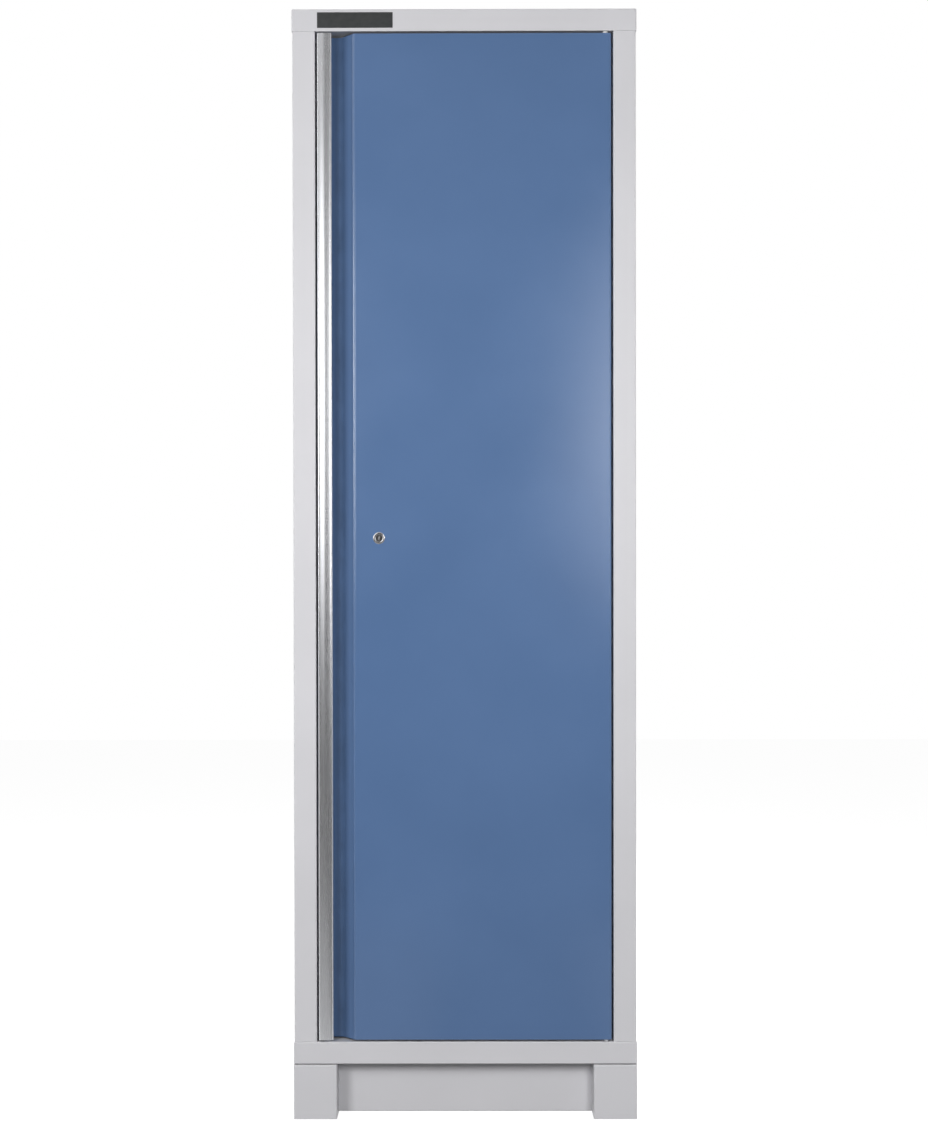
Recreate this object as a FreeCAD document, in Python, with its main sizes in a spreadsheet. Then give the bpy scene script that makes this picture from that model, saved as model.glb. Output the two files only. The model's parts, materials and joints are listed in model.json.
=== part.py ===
import FreeCAD, Part
import Sketcher
import math
import operator
import os
from types import SimpleNamespace

# A tall steel workshop cabinet with one inset door, hung on pins at its right edge.
# X runs to the right as seen from the front, Y to the back and Z up.
# The origin is on the floor, in the middle of the cabinet. Lengths are in millimetres.

SIZES = {
    # whole cabinet
    "cabinet_width": 620.0,
    "cabinet_depth": 460.0,
    "cabinet_height": 2000.0,
    # folded sheet of the carcass
    "carcass_sheet": 1.2,
    "bend_radius": 2.4,
    "edge_round": 0.8,
    "weld_clearance": 0.5,
    "top_rail_height": 40.0,
    "floor_rail_height": 40.0,
    "floor_rail_return": 25.0,
    "floor_rail_fold": 1.8,
    "post_width": 42.0,
    "jamb_depth": 35.0,
    "stop_lip": 18.0,
    "head_lip": 16.0,
    "rear_flange": 20.0,
    "side_foot_flange": 15.0,
    # back panel
    "swage_width": 24.0,
    "swage_height": 2.0,
    "swage_spacing": 190.0,
    "swage_end_gap": 120.0,
    "wall_hole_diameter": 9.0,
    "wall_hole_spacing": 400.0,
    "wall_hole_drop": 100.0,
    "rivet_head": 9.0,
    "rivet_head_height": 1.0,
    "rivet_dome": 0.8,
    "rivet_shank": 4.8,
    "rivet_hole_clearance": 0.1,
    "rivet_tail": 2.0,
    "rivet_tail_width": 6.7,
    "rivet_end_gap": 120.0,
    # base
    "base_height": 100.0,
    "base_sheet": 1.5,
    "foot_width": 78.0,
    "foot_return": 62.0,
    "foot_bend": 2.4,
    "foot_gap": 1.6,
    "kick_setback": 50.0,
    "base_flange": 25.0,
    "bolt_diameter": 8.0,
    "bolt_length": 16.0,
    "bolt_across_flats": 13.0,
    "bolt_head_height": 5.3,
    "nut_height": 6.5,
    "bolt_hole_clearance": 0.5,
    "bolt_front_inset": 120.0,
    "bolt_rear_inset": 80.0,
    # name plate on the top rail
    "plate_width": 136.0,
    "plate_height": 28.0,
    "plate_thickness": 1.2,
    "plate_inset": 46.0,
    # shelf uprights, clips and shelves
    "upright_width": 30.0,
    "upright_depth": 12.0,
    "upright_wing": 8.0,
    "upright_end_gap": 20.0,
    "upright_front_inset": 80.0,
    "upright_rear_inset": 45.0,
    "slot_width": 14.0,
    "slot_height": 5.0,
    "slot_pitch": 50.0,
    "slot_margin": 30.0,
    "clip_sheet": 1.5,
    "clip_width": 12.0,
    "clip_seat": 12.0,
    "clip_hook_drop": 5.0,
    "clip_clearance": 0.3,
    "shelf_sheet": 1.0,
    "shelf_flange": 30.0,
    "shelf_hem": 12.0,
    "shelf_hang": 12.0,
    "shelf_end_clearance": 1.0,
    "shelf_front_clearance": 12.0,
    "shelf_rear_clearance": 6.0,
    # door
    "door_gap": 3.2,
    "door_thickness": 30.0,
    "door_sheet": 1.0,
    "door_corner_radius": 4.0,
    "door_edge_radius": 2.2,
    "door_return": 14.0,
    "recess_flat": 16.0,
    "recess_slant": 23.0,
    "recess_depth": 24.0,
    "recess_hollow": 12.0,
    "recess_bend": 7.0,
    "finger_depth": 11.0,
    # grip strip along the door's free edge
    "strip_width": 27.0,
    "strip_sheet": 1.2,
    "strip_crown": 2.9,
    "strip_crown_radius": 45.0,
    "strip_corner_radius": 3.5,
    "strip_side": 9.0,
    "strip_hem": 6.0,
    "strip_clearance": 0.2,
    # stiffener inside the door
    "stiffener_width": 56.0,
    "stiffener_wing": 12.0,
    "stiffener_depth": 25.0,
    "stiffener_inset": 330.0,
    "stiffener_end_gap": 36.0,
    # pivot hinges
    "hinge_inset": 13.6,
    "hinge_setback": 8.0,
    "pin_diameter": 6.0,
    "pin_clearance": 0.06,
    "pin_reach": 15.0,
    "pin_tail": 8.0,
    "pin_collar": 9.6,
    "pin_collar_height": 4.0,
    "bush_diameter": 8.0,
    "bush_clearance": 0.1,
    "bush_flange": 9.6,
    "bush_flange_height": 2.6,
    "bush_length": 20.0,
    "washer_clearance": 0.1,
    "bracket_sheet": 3.0,
    "bracket_width": 36.0,
    "bracket_leg": 42.0,
    "bracket_clearance": 0.3,
    "bracket_setback": 3.0,
    "hinge_plate_width": 44.0,
    "hinge_plate_depth": 28.0,
    "hinge_plate_height": 4.0,
    # cylinder lock and its two rods
    "lock_inset": 110.6,
    "lock_height": 1049.6,
    "lock_bezel": 22.0,
    "lock_bezel_height": 3.0,
    "lock_bezel_round": 2.2,
    "lock_body": 19.0,
    "lock_body_length": 20.0,
    "lock_hole_clearance": 0.15,
    "lock_nut_across_flats": 25.0,
    "lock_nut_height": 4.0,
    "plug_diameter": 13.0,
    "plug_clearance": 0.06,
    "plug_recess": 1.6,
    "keyway_width": 1.8,
    "keyway_length": 8.4,
    "keyway_depth": 7.0,
    "tang_side": 7.0,
    "tang_clearance": 0.1,
    "cam_diameter": 44.0,
    "cam_sheet": 2.5,
    "cam_gap": 0.5,
    "cam_pin_pitch": 16.0,
    "cam_pin_diameter": 5.0,
    "cam_pin_clearance": 0.7,
    "cam_screw_head": 8.5,
    "cam_screw_head_height": 2.8,
    "cam_screw_diameter": 4.0,
    "cam_screw_length": 9.0,
    "rod_width": 12.0,
    "rod_sheet": 3.0,
    "rod_gap": 0.7,
    "rod_tip_reach": 0.6,
    "rod_hole_clearance": 0.6,
    "rod_keeper_clearance": 2.0,
    "yoke_wall": 3.2,
    "guide_width": 20.0,
    "guide_height": 20.0,
    "guide_wall": 1.5,
    "guide_clearance": 0.3,
    "guide_lock_gap": 300.0,
    "guide_end_gap": 156.0,
    # door stop pads and magnetic catches on the closing post
    "pad_diameter": 11.0,
    "pad_round": 1.5,
    "pad_end_gap": 290.0,
    "stop_clearance": 0.3,
    "catch_width": 12.0,
    "catch_length": 48.0,
    "catch_end_gap": 386.0,
    "magnet_width": 6.0,
    "magnet_length": 38.0,
    "magnet_depth": 3.0,
    "magnet_proud": 0.1,
}

# How many there are of the things that repeat
COUNTS = {
    "rivets_per_side": 6,
    "shelves": 4,
    "slots_below_shelves": 7,
    "slots_per_shelf": 7,
    "stop_pads": 3,
}

OPERATIONS = {"+": operator.add, "-": operator.sub, "*": operator.mul, "/": operator.truediv}


class Size:
    """A length: its value now, and the sheet expression that it comes from."""

    def __init__(self, value, text):
        self.value = float(value)
        self.text = text

    def __add__(self, other):
        return combine(self, "+", other)

    def __radd__(self, other):
        return combine(other, "+", self)

    def __sub__(self, other):
        return combine(self, "-", other)

    def __rsub__(self, other):
        return combine(other, "-", self)

    def __mul__(self, other):
        return combine(self, "*", other)

    def __rmul__(self, other):
        return combine(other, "*", self)

    def __truediv__(self, other):
        return combine(self, "/", other)

    def __neg__(self):
        return combine(0, "-", self)


def as_size(item):
    if isinstance(item, Size):
        return item
    return Size(item, "(%r)" % float(item))


def combine(left, sign, right):
    left = as_size(left)
    right = as_size(right)
    value = OPERATIONS[sign](left.value, right.value)
    return Size(value, "(%s %s %s)" % (left.text, sign, right.text))


# The sheet of driving dimensions
doc = FreeCAD.newDocument("WorkshopCabinet")
sheet = doc.addObject("Spreadsheet::Sheet", "Sizes")
dim = SimpleNamespace()
for row, (alias, number) in enumerate(SIZES.items(), start=1):
    sheet.set("A%d" % row, alias)
    sheet.set("B%d" % row, repr(number))
    sheet.setAlias("B%d" % row, alias)
    setattr(dim, alias, Size(number, "Sizes." + alias))
doc.recompute()
count = SimpleNamespace(**COUNTS)

pieces = []

# Each drawing plane: its role in a body's origin, and the way its normal points along the axis
PLANES = {"x": ("YZ_Plane", 1), "y": ("XZ_Plane", -1), "z": ("XY_Plane", 1)}
SAME_PLACE = 1e-4
HEXAGON_SIDES = 6
EIGHTH_TURN = math.radians(45)


def piece(label):
    """Start a new sub-part. It may hold several separate solids of one kind."""
    body = doc.addObject("PartDesign::Body", label)
    body.Label = label
    body.AllowCompound = True
    pieces.append(body)
    return body


def bind(item, name, size):
    item.setExpression(name, as_size(size).text)


def origin_feature(body, role):
    return [item for item in body.Origin.OriginFeatures if item.Role == role][0]


def settle(body, feature):
    """Finish a feature, make it the body's tip and see that it worked."""
    body.Tip = feature
    doc.recompute()
    if "Invalid" in feature.State or "Error" in feature.State or feature.Shape.isNull():
        raise RuntimeError("%s of %s failed" % (feature.Label, body.Label))
    return feature


def hold(sketch, geometry, point, across, up):
    """Tie one point of a sketch to its two distances from the origin."""
    for kind, size in (("DistanceX", across), ("DistanceY", up)):
        size = as_size(size)
        index = sketch.addConstraint(Sketcher.Constraint(kind, -1, 1, geometry, point, size.value))
        bind(sketch, "Constraints[%d]" % index, size)


def bend_points(before, corner, after, radius):
    """Start, middle and end of the arc that rounds a corner."""
    back = (before - corner).normalize()
    ahead = (after - corner).normalize()
    half_angle = back.getAngle(ahead) / 2
    leg = radius / math.tan(half_angle)
    inward = (back + ahead).normalize()
    middle = corner + inward * (radius / math.sin(half_angle) - radius)
    return corner + back * leg, middle, corner + ahead * leg


def draw_loop(sketch, corners):
    """Draw a closed outline. A corner is (across, up), or (across, up, bend radius)."""
    total = len(corners)
    places = [FreeCAD.Vector(as_size(c[0]).value, as_size(c[1]).value, 0) for c in corners]
    starts = list(places)
    ends = [places[(i + 1) % total] for i in range(total)]
    bends = {}
    for i, corner in enumerate(corners):
        if len(corner) == 3:
            radius = as_size(corner[2]).value
            bends[i] = bend_points(places[i - 1], places[i], places[(i + 1) % total], radius)
            ends[i - 1] = bends[i][0]
            starts[i] = bends[i][2]
    lines = [sketch.addGeometry(Part.LineSegment(starts[i], ends[i]), False) for i in range(total)]
    for i, corner in enumerate(corners):
        line_in = lines[i - 1]
        line_out = lines[i]
        if i not in bends:
            sketch.addConstraint(Sketcher.Constraint("Coincident", line_in, 2, line_out, 1))
            hold(sketch, line_out, 1, corner[0], corner[1])
            continue
        arc = sketch.addGeometry(Part.Arc(*bends[i]), False)
        near = 1 if sketch.getPoint(arc, 1).distanceToPoint(bends[i][0]) < SAME_PLACE else 2
        sketch.addConstraint(Sketcher.Constraint("Tangent", line_in, 2, arc, near))
        sketch.addConstraint(Sketcher.Constraint("Tangent", arc, 3 - near, line_out, 1))
        index = sketch.addConstraint(Sketcher.Constraint("Radius", arc, as_size(corner[2]).value))
        bind(sketch, "Constraints[%d]" % index, corner[2])
        tip = sketch.addGeometry(Part.Point(places[i]), True)
        sketch.addConstraint(Sketcher.Constraint("PointOnObject", tip, 1, line_in))
        sketch.addConstraint(Sketcher.Constraint("PointOnObject", tip, 1, line_out))
        hold(sketch, tip, 1, corner[0], corner[1])


def draw_circle(sketch, across, up, diameter):
    middle = FreeCAD.Vector(as_size(across).value, as_size(up).value, 0)
    radius = as_size(diameter).value / 2
    circle = sketch.addGeometry(Part.Circle(middle, FreeCAD.Vector(0, 0, 1), radius), False)
    index = sketch.addConstraint(Sketcher.Constraint("Diameter", circle, 2 * radius))
    bind(sketch, "Constraints[%d]" % index, diameter)
    hold(sketch, circle, 3, across, up)


def draw(body, name, axis, level, loops=(), circles=()):
    """A sketch across an axis, at one level along it."""
    role, way = PLANES[axis]
    sketch = body.newObject("Sketcher::SketchObject", name)
    sketch.AttachmentSupport = (origin_feature(body, role), [""])
    sketch.MapMode = "FlatFace"
    bind(sketch, "AttachmentOffset.Base.z", way * as_size(level))
    for corners in loops:
        draw_loop(sketch, corners)
    for across, up, diameter in circles:
        draw_circle(sketch, across, up, diameter)
    return sketch


def add(body, name, axis, start, end, loops=(), circles=()):
    """Add material: outlines across an axis, carried along it from start to end."""
    pad = body.newObject("PartDesign::Pad", name)
    pad.Profile = draw(body, name + "_outline", axis, start, loops, circles)
    pad.Reversed = axis == "y"
    bind(pad, "Length", end - as_size(start))
    return settle(body, pad)


def cut(body, name, axis, start, end, loops=(), circles=()):
    """Take material away: outlines across an axis, carried along it from start to end."""
    before = body.Shape.Volume
    pocket = body.newObject("PartDesign::Pocket", name)
    pocket.Profile = draw(body, name + "_outline", axis, start, loops, circles)
    pocket.Reversed = axis != "y"
    bind(pocket, "Length", end - as_size(start))
    settle(body, pocket)
    if body.Shape.Volume >= before:
        raise RuntimeError("%s of %s cut nothing" % (name, body.Label))
    return pocket


def block(across_1, up_1, across_2, up_2):
    return [(across_1, up_1), (across_2, up_1), (across_2, up_2), (across_1, up_2)]


def hexagon(across, up, across_flats):
    corners = []
    reach = across_flats / (2 * math.cos(math.pi / HEXAGON_SIDES))
    for turn in range(HEXAGON_SIDES):
        angle = 2 * math.pi * turn / HEXAGON_SIDES
        corners.append((across + reach * math.cos(angle), up + reach * math.sin(angle)))
    return corners


def edge_at(**places):
    """A test for edges and faces that lie at the given levels along X, Y or Z over their whole length."""
    wanted = [(name.upper(), as_size(level).value) for name, level in places.items()]

    def test(item):
        box = item.BoundBox
        for name, level in wanted:
            low = getattr(box, name + "Min")
            high = getattr(box, name + "Max")
            if abs(low - level) > SAME_PLACE or abs(high - level) > SAME_PLACE:
                return False
        return True

    return test


def round_edges(body, name, radius, *tests):
    """Round the edges of the body so far that any of the tests picks."""
    base = body.Tip
    chosen = []
    for number, edge in enumerate(base.Shape.Edges, start=1):
        if any(test(edge) for test in tests):
            chosen.append("Edge%d" % number)
    fillet = body.newObject("PartDesign::Fillet", name)
    fillet.Base = (base, chosen)
    bind(fillet, "Radius", radius)
    return settle(body, fillet)


def hollow(body, name, wall, *tests):
    """Hollow a solid to a folded sheet, open at the flat sides that any of the tests picks."""
    base = body.Tip
    faces = []
    for number, face in enumerate(base.Shape.Faces, start=1):
        if any(test(face) for test in tests):
            faces.append("Face%d" % number)
    shell = body.newObject("PartDesign::Thickness", name)
    shell.Base = (base, faces)
    shell.Reversed = True
    bind(shell, "Value", wall)
    return settle(body, shell)


def repeat(body, name, axis, pitch, times):
    """Repeat all that the body holds so far in a row along an axis."""
    row_feature = body.newObject("PartDesign::LinearPattern", name)
    row_feature.TransformMode = "Whole shape"
    row_feature.Direction = (origin_feature(body, axis.upper() + "_Axis"), [""])
    row_feature.Mode = "Spacing"
    bind(row_feature, "Offset", pitch)
    row_feature.Occurrences = times
    return settle(body, row_feature)


def repeat_feature(body, name, feature, axis, pitch, times):
    """Repeat one feature in a row along an axis."""
    row_feature = body.newObject("PartDesign::LinearPattern", name)
    row_feature.Originals = [feature]
    row_feature.Direction = (origin_feature(body, axis.upper() + "_Axis"), [""])
    row_feature.Mode = "Spacing"
    bind(row_feature, "Offset", pitch)
    row_feature.Occurrences = times
    return settle(body, row_feature)


def mirror(body, name):
    """Copy all that the body holds so far to the other side of the cabinet's middle plane."""
    copy = body.newObject("PartDesign::Mirrored", name)
    copy.TransformMode = "Whole shape"
    copy.MirrorPlane = (origin_feature(body, "YZ_Plane"), [""])
    return settle(body, copy)


# Main planes of the carcass
half_width = dim.cabinet_width / 2
front = -dim.cabinet_depth / 2
back = dim.cabinet_depth / 2
steel = dim.carcass_sheet
inner_bend = dim.bend_radius - steel
opening_half = half_width - dim.post_width
opening_bottom = dim.base_height + dim.floor_rail_height
opening_top = dim.cabinet_height - dim.top_rail_height
side_outer = half_width - steel
side_inner = side_outer - steel
post_front = front + steel
stop_front = front + dim.jamb_depth
stop_back = stop_front + steel
rear_flange_back = back - steel
panel_back = rear_flange_back - steel
panel_front = panel_back - steel
roof_under = dim.cabinet_height - steel
side_top = roof_under - inner_bend - dim.weld_clearance
floor_under = opening_bottom - steel

# Main planes of the door
door_half = opening_half - dim.door_gap
door_bottom = opening_bottom + dim.door_gap
door_top = opening_top - dim.door_gap
door_back = front + dim.door_thickness
skin_back = front + dim.door_sheet

# Hinge axis
hinge_x = opening_half - dim.hinge_inset
hinge_y = front + dim.hinge_setback
pin_hole = dim.pin_diameter + 2 * dim.pin_clearance
bush_hole = dim.bush_diameter + 2 * dim.bush_clearance

# Lock axis, and the levels of its cam and rods behind the door's front
lock_x = -door_half + dim.lock_inset
lock_z = dim.lock_height
housing_back = skin_back + dim.lock_body_length
cam_front = housing_back + dim.cam_gap
cam_back = cam_front + dim.cam_sheet
rod_front = cam_back + dim.rod_gap
rod_back = rod_front + dim.rod_sheet

# The cam's pins swing a quarter turn, from an eighth below the level to an eighth above it
pin_low = dim.cam_pin_pitch * math.sin(EIGHTH_TURN)
rod_x = (dim.cam_pin_pitch + pin_low) / 2
rod_throw = 2 * pin_low
upper_rod_x = lock_x - rod_x
lower_rod_x = lock_x + rod_x


def rod_slot(across, clearance):
    """The hole that a lock rod runs through, seen from above."""
    half = dim.rod_width / 2 + clearance
    return block(across - half, rod_front - clearance, across + half, rod_back + clearance)


def make_top_cap():
    """Folded roof tray, with the top rail and the head of the door opening at its front."""
    body = piece("top_cap")
    top = dim.cabinet_height
    add(body, "tray", "z", opening_top, top, [block(-half_width, front, half_width, back)])
    corners = [edge_at(x=side, y=end) for side in (-half_width, half_width) for end in (front, back)]
    round_edges(body, "folds", dim.bend_radius, edge_at(z=top), *corners)
    hollow(body, "sheet", steel, edge_at(z=opening_top))
    head_half = opening_half - inner_bend - dim.weld_clearance
    head = block(front, opening_top, stop_front, opening_top + steel)
    add(body, "head", "x", -head_half, head_half, [head])
    lip_half = opening_half - dim.stop_lip - dim.weld_clearance
    lip = block(stop_front, opening_top - dim.head_lip, stop_back, opening_top + steel)
    add(body, "head_stop", "x", -lip_half, lip_half, [lip])
    above = opening_top + 2 * steel
    below = opening_top - steel
    cut(body, "bush_hole", "z", below, above, circles=[(hinge_x, hinge_y, bush_hole)])
    cut(body, "rod_hole", "z", below, above, [rod_slot(upper_rod_x, dim.rod_keeper_clearance)])
    round_edges(body, "rail_edge", dim.edge_round, edge_at(y=front, z=opening_top))


def make_bottom_tray():
    """Folded floor tray, with the bottom rail at its front."""
    body = piece("bottom_tray")
    base_top = dim.base_height
    add(body, "tray", "z", base_top, opening_bottom, [block(-half_width, front, half_width, back)])
    corners = [edge_at(x=side, y=end) for side in (-half_width, half_width) for end in (front, back)]
    round_edges(body, "folds", dim.bend_radius, edge_at(z=opening_bottom), *corners)
    hollow(body, "sheet", steel, edge_at(z=base_top))
    wide = side_outer
    deep = rear_flange_back
    narrow = wide - dim.floor_rail_return
    short = deep - dim.floor_rail_return
    ring = [block(-wide, -deep, wide, deep), block(-narrow, -short, narrow, short)]
    add(body, "return", "z", base_top, base_top + steel, ring)
    round_edges(body, "return_fold", dim.floor_rail_fold, edge_at(y=front, z=base_top))
    cut(body, "pin_hole", "z", floor_under - steel, opening_bottom + steel,
        circles=[(hinge_x, hinge_y, pin_hole)])
    cut(body, "rod_hole", "z", floor_under - steel, opening_bottom + steel,
        [rod_slot(lower_rod_x, dim.rod_keeper_clearance)])
    cut(body, "bolt_holes", "z", base_top - steel, base_top + 2 * steel, circles=bolt_circles())


def bolt_places():
    """Where the base is bolted on: the middle of the flange at each side, at two depths."""
    across = half_width - dim.base_sheet - dim.base_flange / 2
    deep = (front + dim.bolt_front_inset, back - dim.bolt_rear_inset)
    return [(side * across, y) for side in (-1, 1) for y in deep]


def bolt_circles():
    hole = dim.bolt_diameter + 2 * dim.bolt_hole_clearance
    return [(x, y, hole) for x, y in bolt_places()]


def make_side_panel(label, hand):
    """Side wall, folded at the front into the post and its door stop, at the rear into a flange."""
    body = piece(label)
    outer = hand * side_outer
    inner = hand * side_inner
    jamb = hand * opening_half
    jamb_inside = hand * (opening_half + steel)
    lip_end = hand * (opening_half - dim.stop_lip)
    flange_end = hand * (side_outer - dim.rear_flange)
    profile = [
        (lip_end, stop_front),
        (jamb, stop_front, inner_bend),
        (jamb, post_front, dim.bend_radius),
        (outer, post_front, dim.bend_radius),
        (outer, rear_flange_back, dim.bend_radius),
        (flange_end, rear_flange_back),
        (flange_end, panel_back),
        (inner, panel_back, inner_bend),
        (inner, post_front + steel, inner_bend),
        (jamb_inside, post_front + steel, inner_bend),
        (jamb_inside, stop_back, dim.bend_radius),
        (lip_end, stop_back),
    ]
    add(body, "profile", "z", opening_bottom, side_top, [profile])
    flange_front = stop_back + dim.weld_clearance
    flange_rear = panel_front - dim.weld_clearance
    reach = hand * (side_inner - dim.side_foot_flange)
    foot = block(inner, opening_bottom, reach, opening_bottom + steel)
    head = block(inner, side_top - steel, reach, side_top)
    add(body, "foot_flange", "y", flange_front, flange_rear, [foot])
    add(body, "head_flange", "y", flange_front, flange_rear, [head])
    drill_rivet_holes(body, hand)


def make_back_panel():
    """Flat back with three pressed stiffening ribs and two holes for fixing to a wall."""
    body = piece("back_panel")
    half = side_inner - inner_bend - dim.weld_clearance
    top = roof_under - dim.weld_clearance
    add(body, "sheet", "y", panel_front, panel_back, [block(-half, opening_bottom, half, top)])
    low = opening_bottom + dim.swage_end_gap
    high = top - dim.swage_end_gap
    for number in (-1, 0, 1):
        middle = number * dim.swage_spacing
        wide = dim.swage_width / 2
        narrow = wide - dim.swage_height
        crest = panel_back + dim.swage_height
        ridge = [(middle - wide, panel_back), (middle + wide, panel_back),
                 (middle + narrow, crest), (middle - narrow, crest)]
        trough = [(x, y - steel) for x, y in ridge]
        add(body, "rib", "z", low, high, [ridge])
        cut(body, "rib_hollow", "z", low + steel, high - steel, [trough])
    holes = []
    for side in (-1, 1):
        height = dim.cabinet_height - dim.wall_hole_drop
        holes.append((side * dim.wall_hole_spacing / 2, height, dim.wall_hole_diameter))
    cut(body, "wall_holes", "y", panel_front - steel, panel_back + steel, circles=holes)
    for hand in (-1, 1):
        drill_rivet_holes(body, hand)


def rivet_row():
    """Across position, first height and pitch of the rivets down each rear flange."""
    across = side_outer - dim.rear_flange / 2
    span = opening_top - opening_bottom - 2 * dim.rivet_end_gap
    return across, opening_bottom + dim.rivet_end_gap, span / (count.rivets_per_side - 1)


def make_back_rivets():
    """Domed rivets that hold the back panel to the rear flanges of the sides."""
    body = piece("back_rivets")
    across, first, pitch = rivet_row()
    head_back = rear_flange_back + dim.rivet_head_height
    add(body, "head", "y", rear_flange_back, head_back, circles=[(across, first, dim.rivet_head)])
    round_edges(body, "dome", dim.rivet_dome, edge_at(y=head_back))
    tail = panel_front - dim.rivet_tail
    add(body, "tail", "y", tail, panel_front, circles=[(across, first, dim.rivet_tail_width)])
    add(body, "shank", "y", panel_front, rear_flange_back, circles=[(across, first, dim.rivet_shank)])
    repeat(body, "row", "z", pitch, count.rivets_per_side)
    mirror(body, "other_side")


def drill_rivet_holes(body, hand):
    """A row of rivet holes down one side."""
    across, first, pitch = rivet_row()
    spot = [(hand * across, first, dim.rivet_shank + 2 * dim.rivet_hole_clearance)]
    hole = cut(body, "rivet_hole", "y", panel_front - steel, rear_flange_back + steel, circles=spot)
    repeat_feature(body, "rivet_holes", hole, "z", pitch, count.rivets_per_side)


def make_foot(label, hand):
    """Folded front foot: its face, its two legs and a top flange just below the floor tray."""
    body = piece(label)
    outer = hand * half_width
    inside = hand * (half_width - dim.foot_width)
    leg_end = front + dim.foot_return
    top = dim.base_height - dim.foot_gap
    add(body, "block", "z", 0, top, [block(outer, front, inside, leg_end)])
    sides = [edge_at(x=side, y=front) for side in (outer, inside)]
    round_edges(body, "folds", dim.foot_bend, edge_at(y=front, z=top), *sides)
    hollow(body, "sheet", dim.base_sheet, edge_at(z=0), edge_at(y=leg_end))


def channel(outer, way, low, high, wall, flange):
    """Outline of an upright channel: a web at outer, with flanges that point the given way."""
    inner = outer + way * wall
    tip = outer + way * flange
    bend = dim.bend_radius
    small_bend = bend - wall
    return [
        (tip, low),
        (outer, low, bend),
        (outer, high, bend),
        (tip, high),
        (tip, high - wall),
        (inner, high - wall, small_bend),
        (inner, low + wall, small_bend),
        (tip, low + wall),
    ]


def make_kick_panel():
    """Set-back panel between the two front feet."""
    body = piece("kick_panel")
    half = half_width - dim.foot_width
    face = front + dim.kick_setback
    profile = channel(face, 1, as_size(0), dim.base_height, dim.base_sheet, dim.base_flange)
    add(body, "profile", "x", -half, half, [profile])


def make_base_side(label, hand):
    """Side rail of the base, from the foot to the back."""
    body = piece(label)
    wall = dim.base_sheet
    flange = dim.base_flange
    profile = channel(hand * half_width, -hand, as_size(0), dim.base_height, wall, flange)
    add(body, "profile", "y", front + dim.foot_return, back, [profile])
    circles = [(x, y, d) for x, y, d in bolt_circles() if x.value * hand > 0]
    cut(body, "bolt_holes", "z", dim.base_height - 2 * wall, dim.base_height + wall, circles=circles)


def make_base_rear():
    """Rear rail of the base. Its flanges stop short of the side rails' flanges."""
    body = piece("base_rear_rail")
    wall = dim.base_sheet
    web_half = half_width - wall
    flange_half = half_width - dim.base_flange - dim.weld_clearance
    web = block(back - wall, 2 * wall, back, dim.base_height - 2 * wall)
    add(body, "web", "x", -web_half, web_half, [web])
    profile = channel(back, -1, as_size(0), dim.base_height, wall, dim.base_flange)
    add(body, "flanges", "x", -flange_half, flange_half, [profile])


def make_base_bolts():
    """Bolts up through the base flange and the floor tray's return, with their nuts on top."""
    flange_under = dim.base_height - dim.base_sheet
    nut_seat = dim.base_height + steel
    bolts = piece("base_bolts")
    nuts = piece("base_nuts")
    head_low = flange_under - dim.bolt_head_height
    heads = [hexagon(x, y, dim.bolt_across_flats) for x, y in bolt_places()]
    shanks = [(x, y, dim.bolt_diameter) for x, y in bolt_places()]
    bores = [(x, y, dim.bolt_diameter + dim.bolt_hole_clearance / 2) for x, y in bolt_places()]
    add(bolts, "heads", "z", head_low, flange_under, heads)
    add(bolts, "shanks", "z", flange_under, flange_under + dim.bolt_length, circles=shanks)
    add(nuts, "nuts", "z", nut_seat, nut_seat + dim.nut_height, heads, circles=bores)


def make_name_plate():
    """Bare plate on the top rail."""
    body = piece("badge_plate")
    left = -half_width + dim.plate_inset
    middle = (opening_top + dim.cabinet_height) / 2
    low = middle - dim.plate_height / 2
    high = middle + dim.plate_height / 2
    face = front - dim.plate_thickness
    add(body, "plate", "y", face, front, [block(left, low, left + dim.plate_width, high)])
    round_edges(body, "edge", dim.edge_round, edge_at(y=face))


# Shelf supports: where the uprights stand, and the lower edge of each slot
upright_face = side_inner - dim.upright_depth
upright_front_y = front + dim.upright_front_inset
upright_rear_y = back - dim.upright_rear_inset
upright_low = opening_bottom + dim.upright_end_gap
upright_high = opening_top - dim.upright_end_gap
first_slot = upright_low + dim.slot_margin


def make_upright(label, hand, depth):
    """Slotted hat-section strip on a side wall, which the shelf clips hook into."""
    body = piece(label)
    wall = steel
    root = hand * side_inner
    root_face = hand * (side_inner - wall)
    face = hand * upright_face
    under = hand * (upright_face + wall)
    half = dim.upright_width / 2
    wing = half + dim.upright_wing
    profile = [
        (root, -wing),
        (root_face, -wing),
        (root_face, -half),
        (face, -half),
        (face, half),
        (root_face, half),
        (root_face, wing),
        (root, wing),
        (root, half - wall),
        (under, half - wall),
        (under, wall - half),
        (root, wall - half),
    ]
    add(body, "profile", "z", upright_low, upright_high, [profile])
    slot_half = dim.slot_width / 2
    slot = block(-slot_half, first_slot, slot_half, first_slot + dim.slot_height)
    hole = cut(body, "slot", "x", face - 2 * wall, face + 2 * wall, [slot])
    length = upright_high - upright_low - 2 * dim.slot_margin
    slots = int(length.value // dim.slot_pitch.value) + 1
    repeat_feature(body, "slots", hole, "z", dim.slot_pitch, slots)
    bind(body, "Placement.Base.y", depth)


def shelf_level(number):
    """Height of a shelf's top: it hangs a little above the slot that its clips hook into."""
    slot_number = count.slots_below_shelves + number * count.slots_per_shelf
    return first_slot + slot_number * dim.slot_pitch + dim.shelf_hang


shelf_half = upright_face - dim.clip_sheet - dim.shelf_end_clearance


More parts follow.
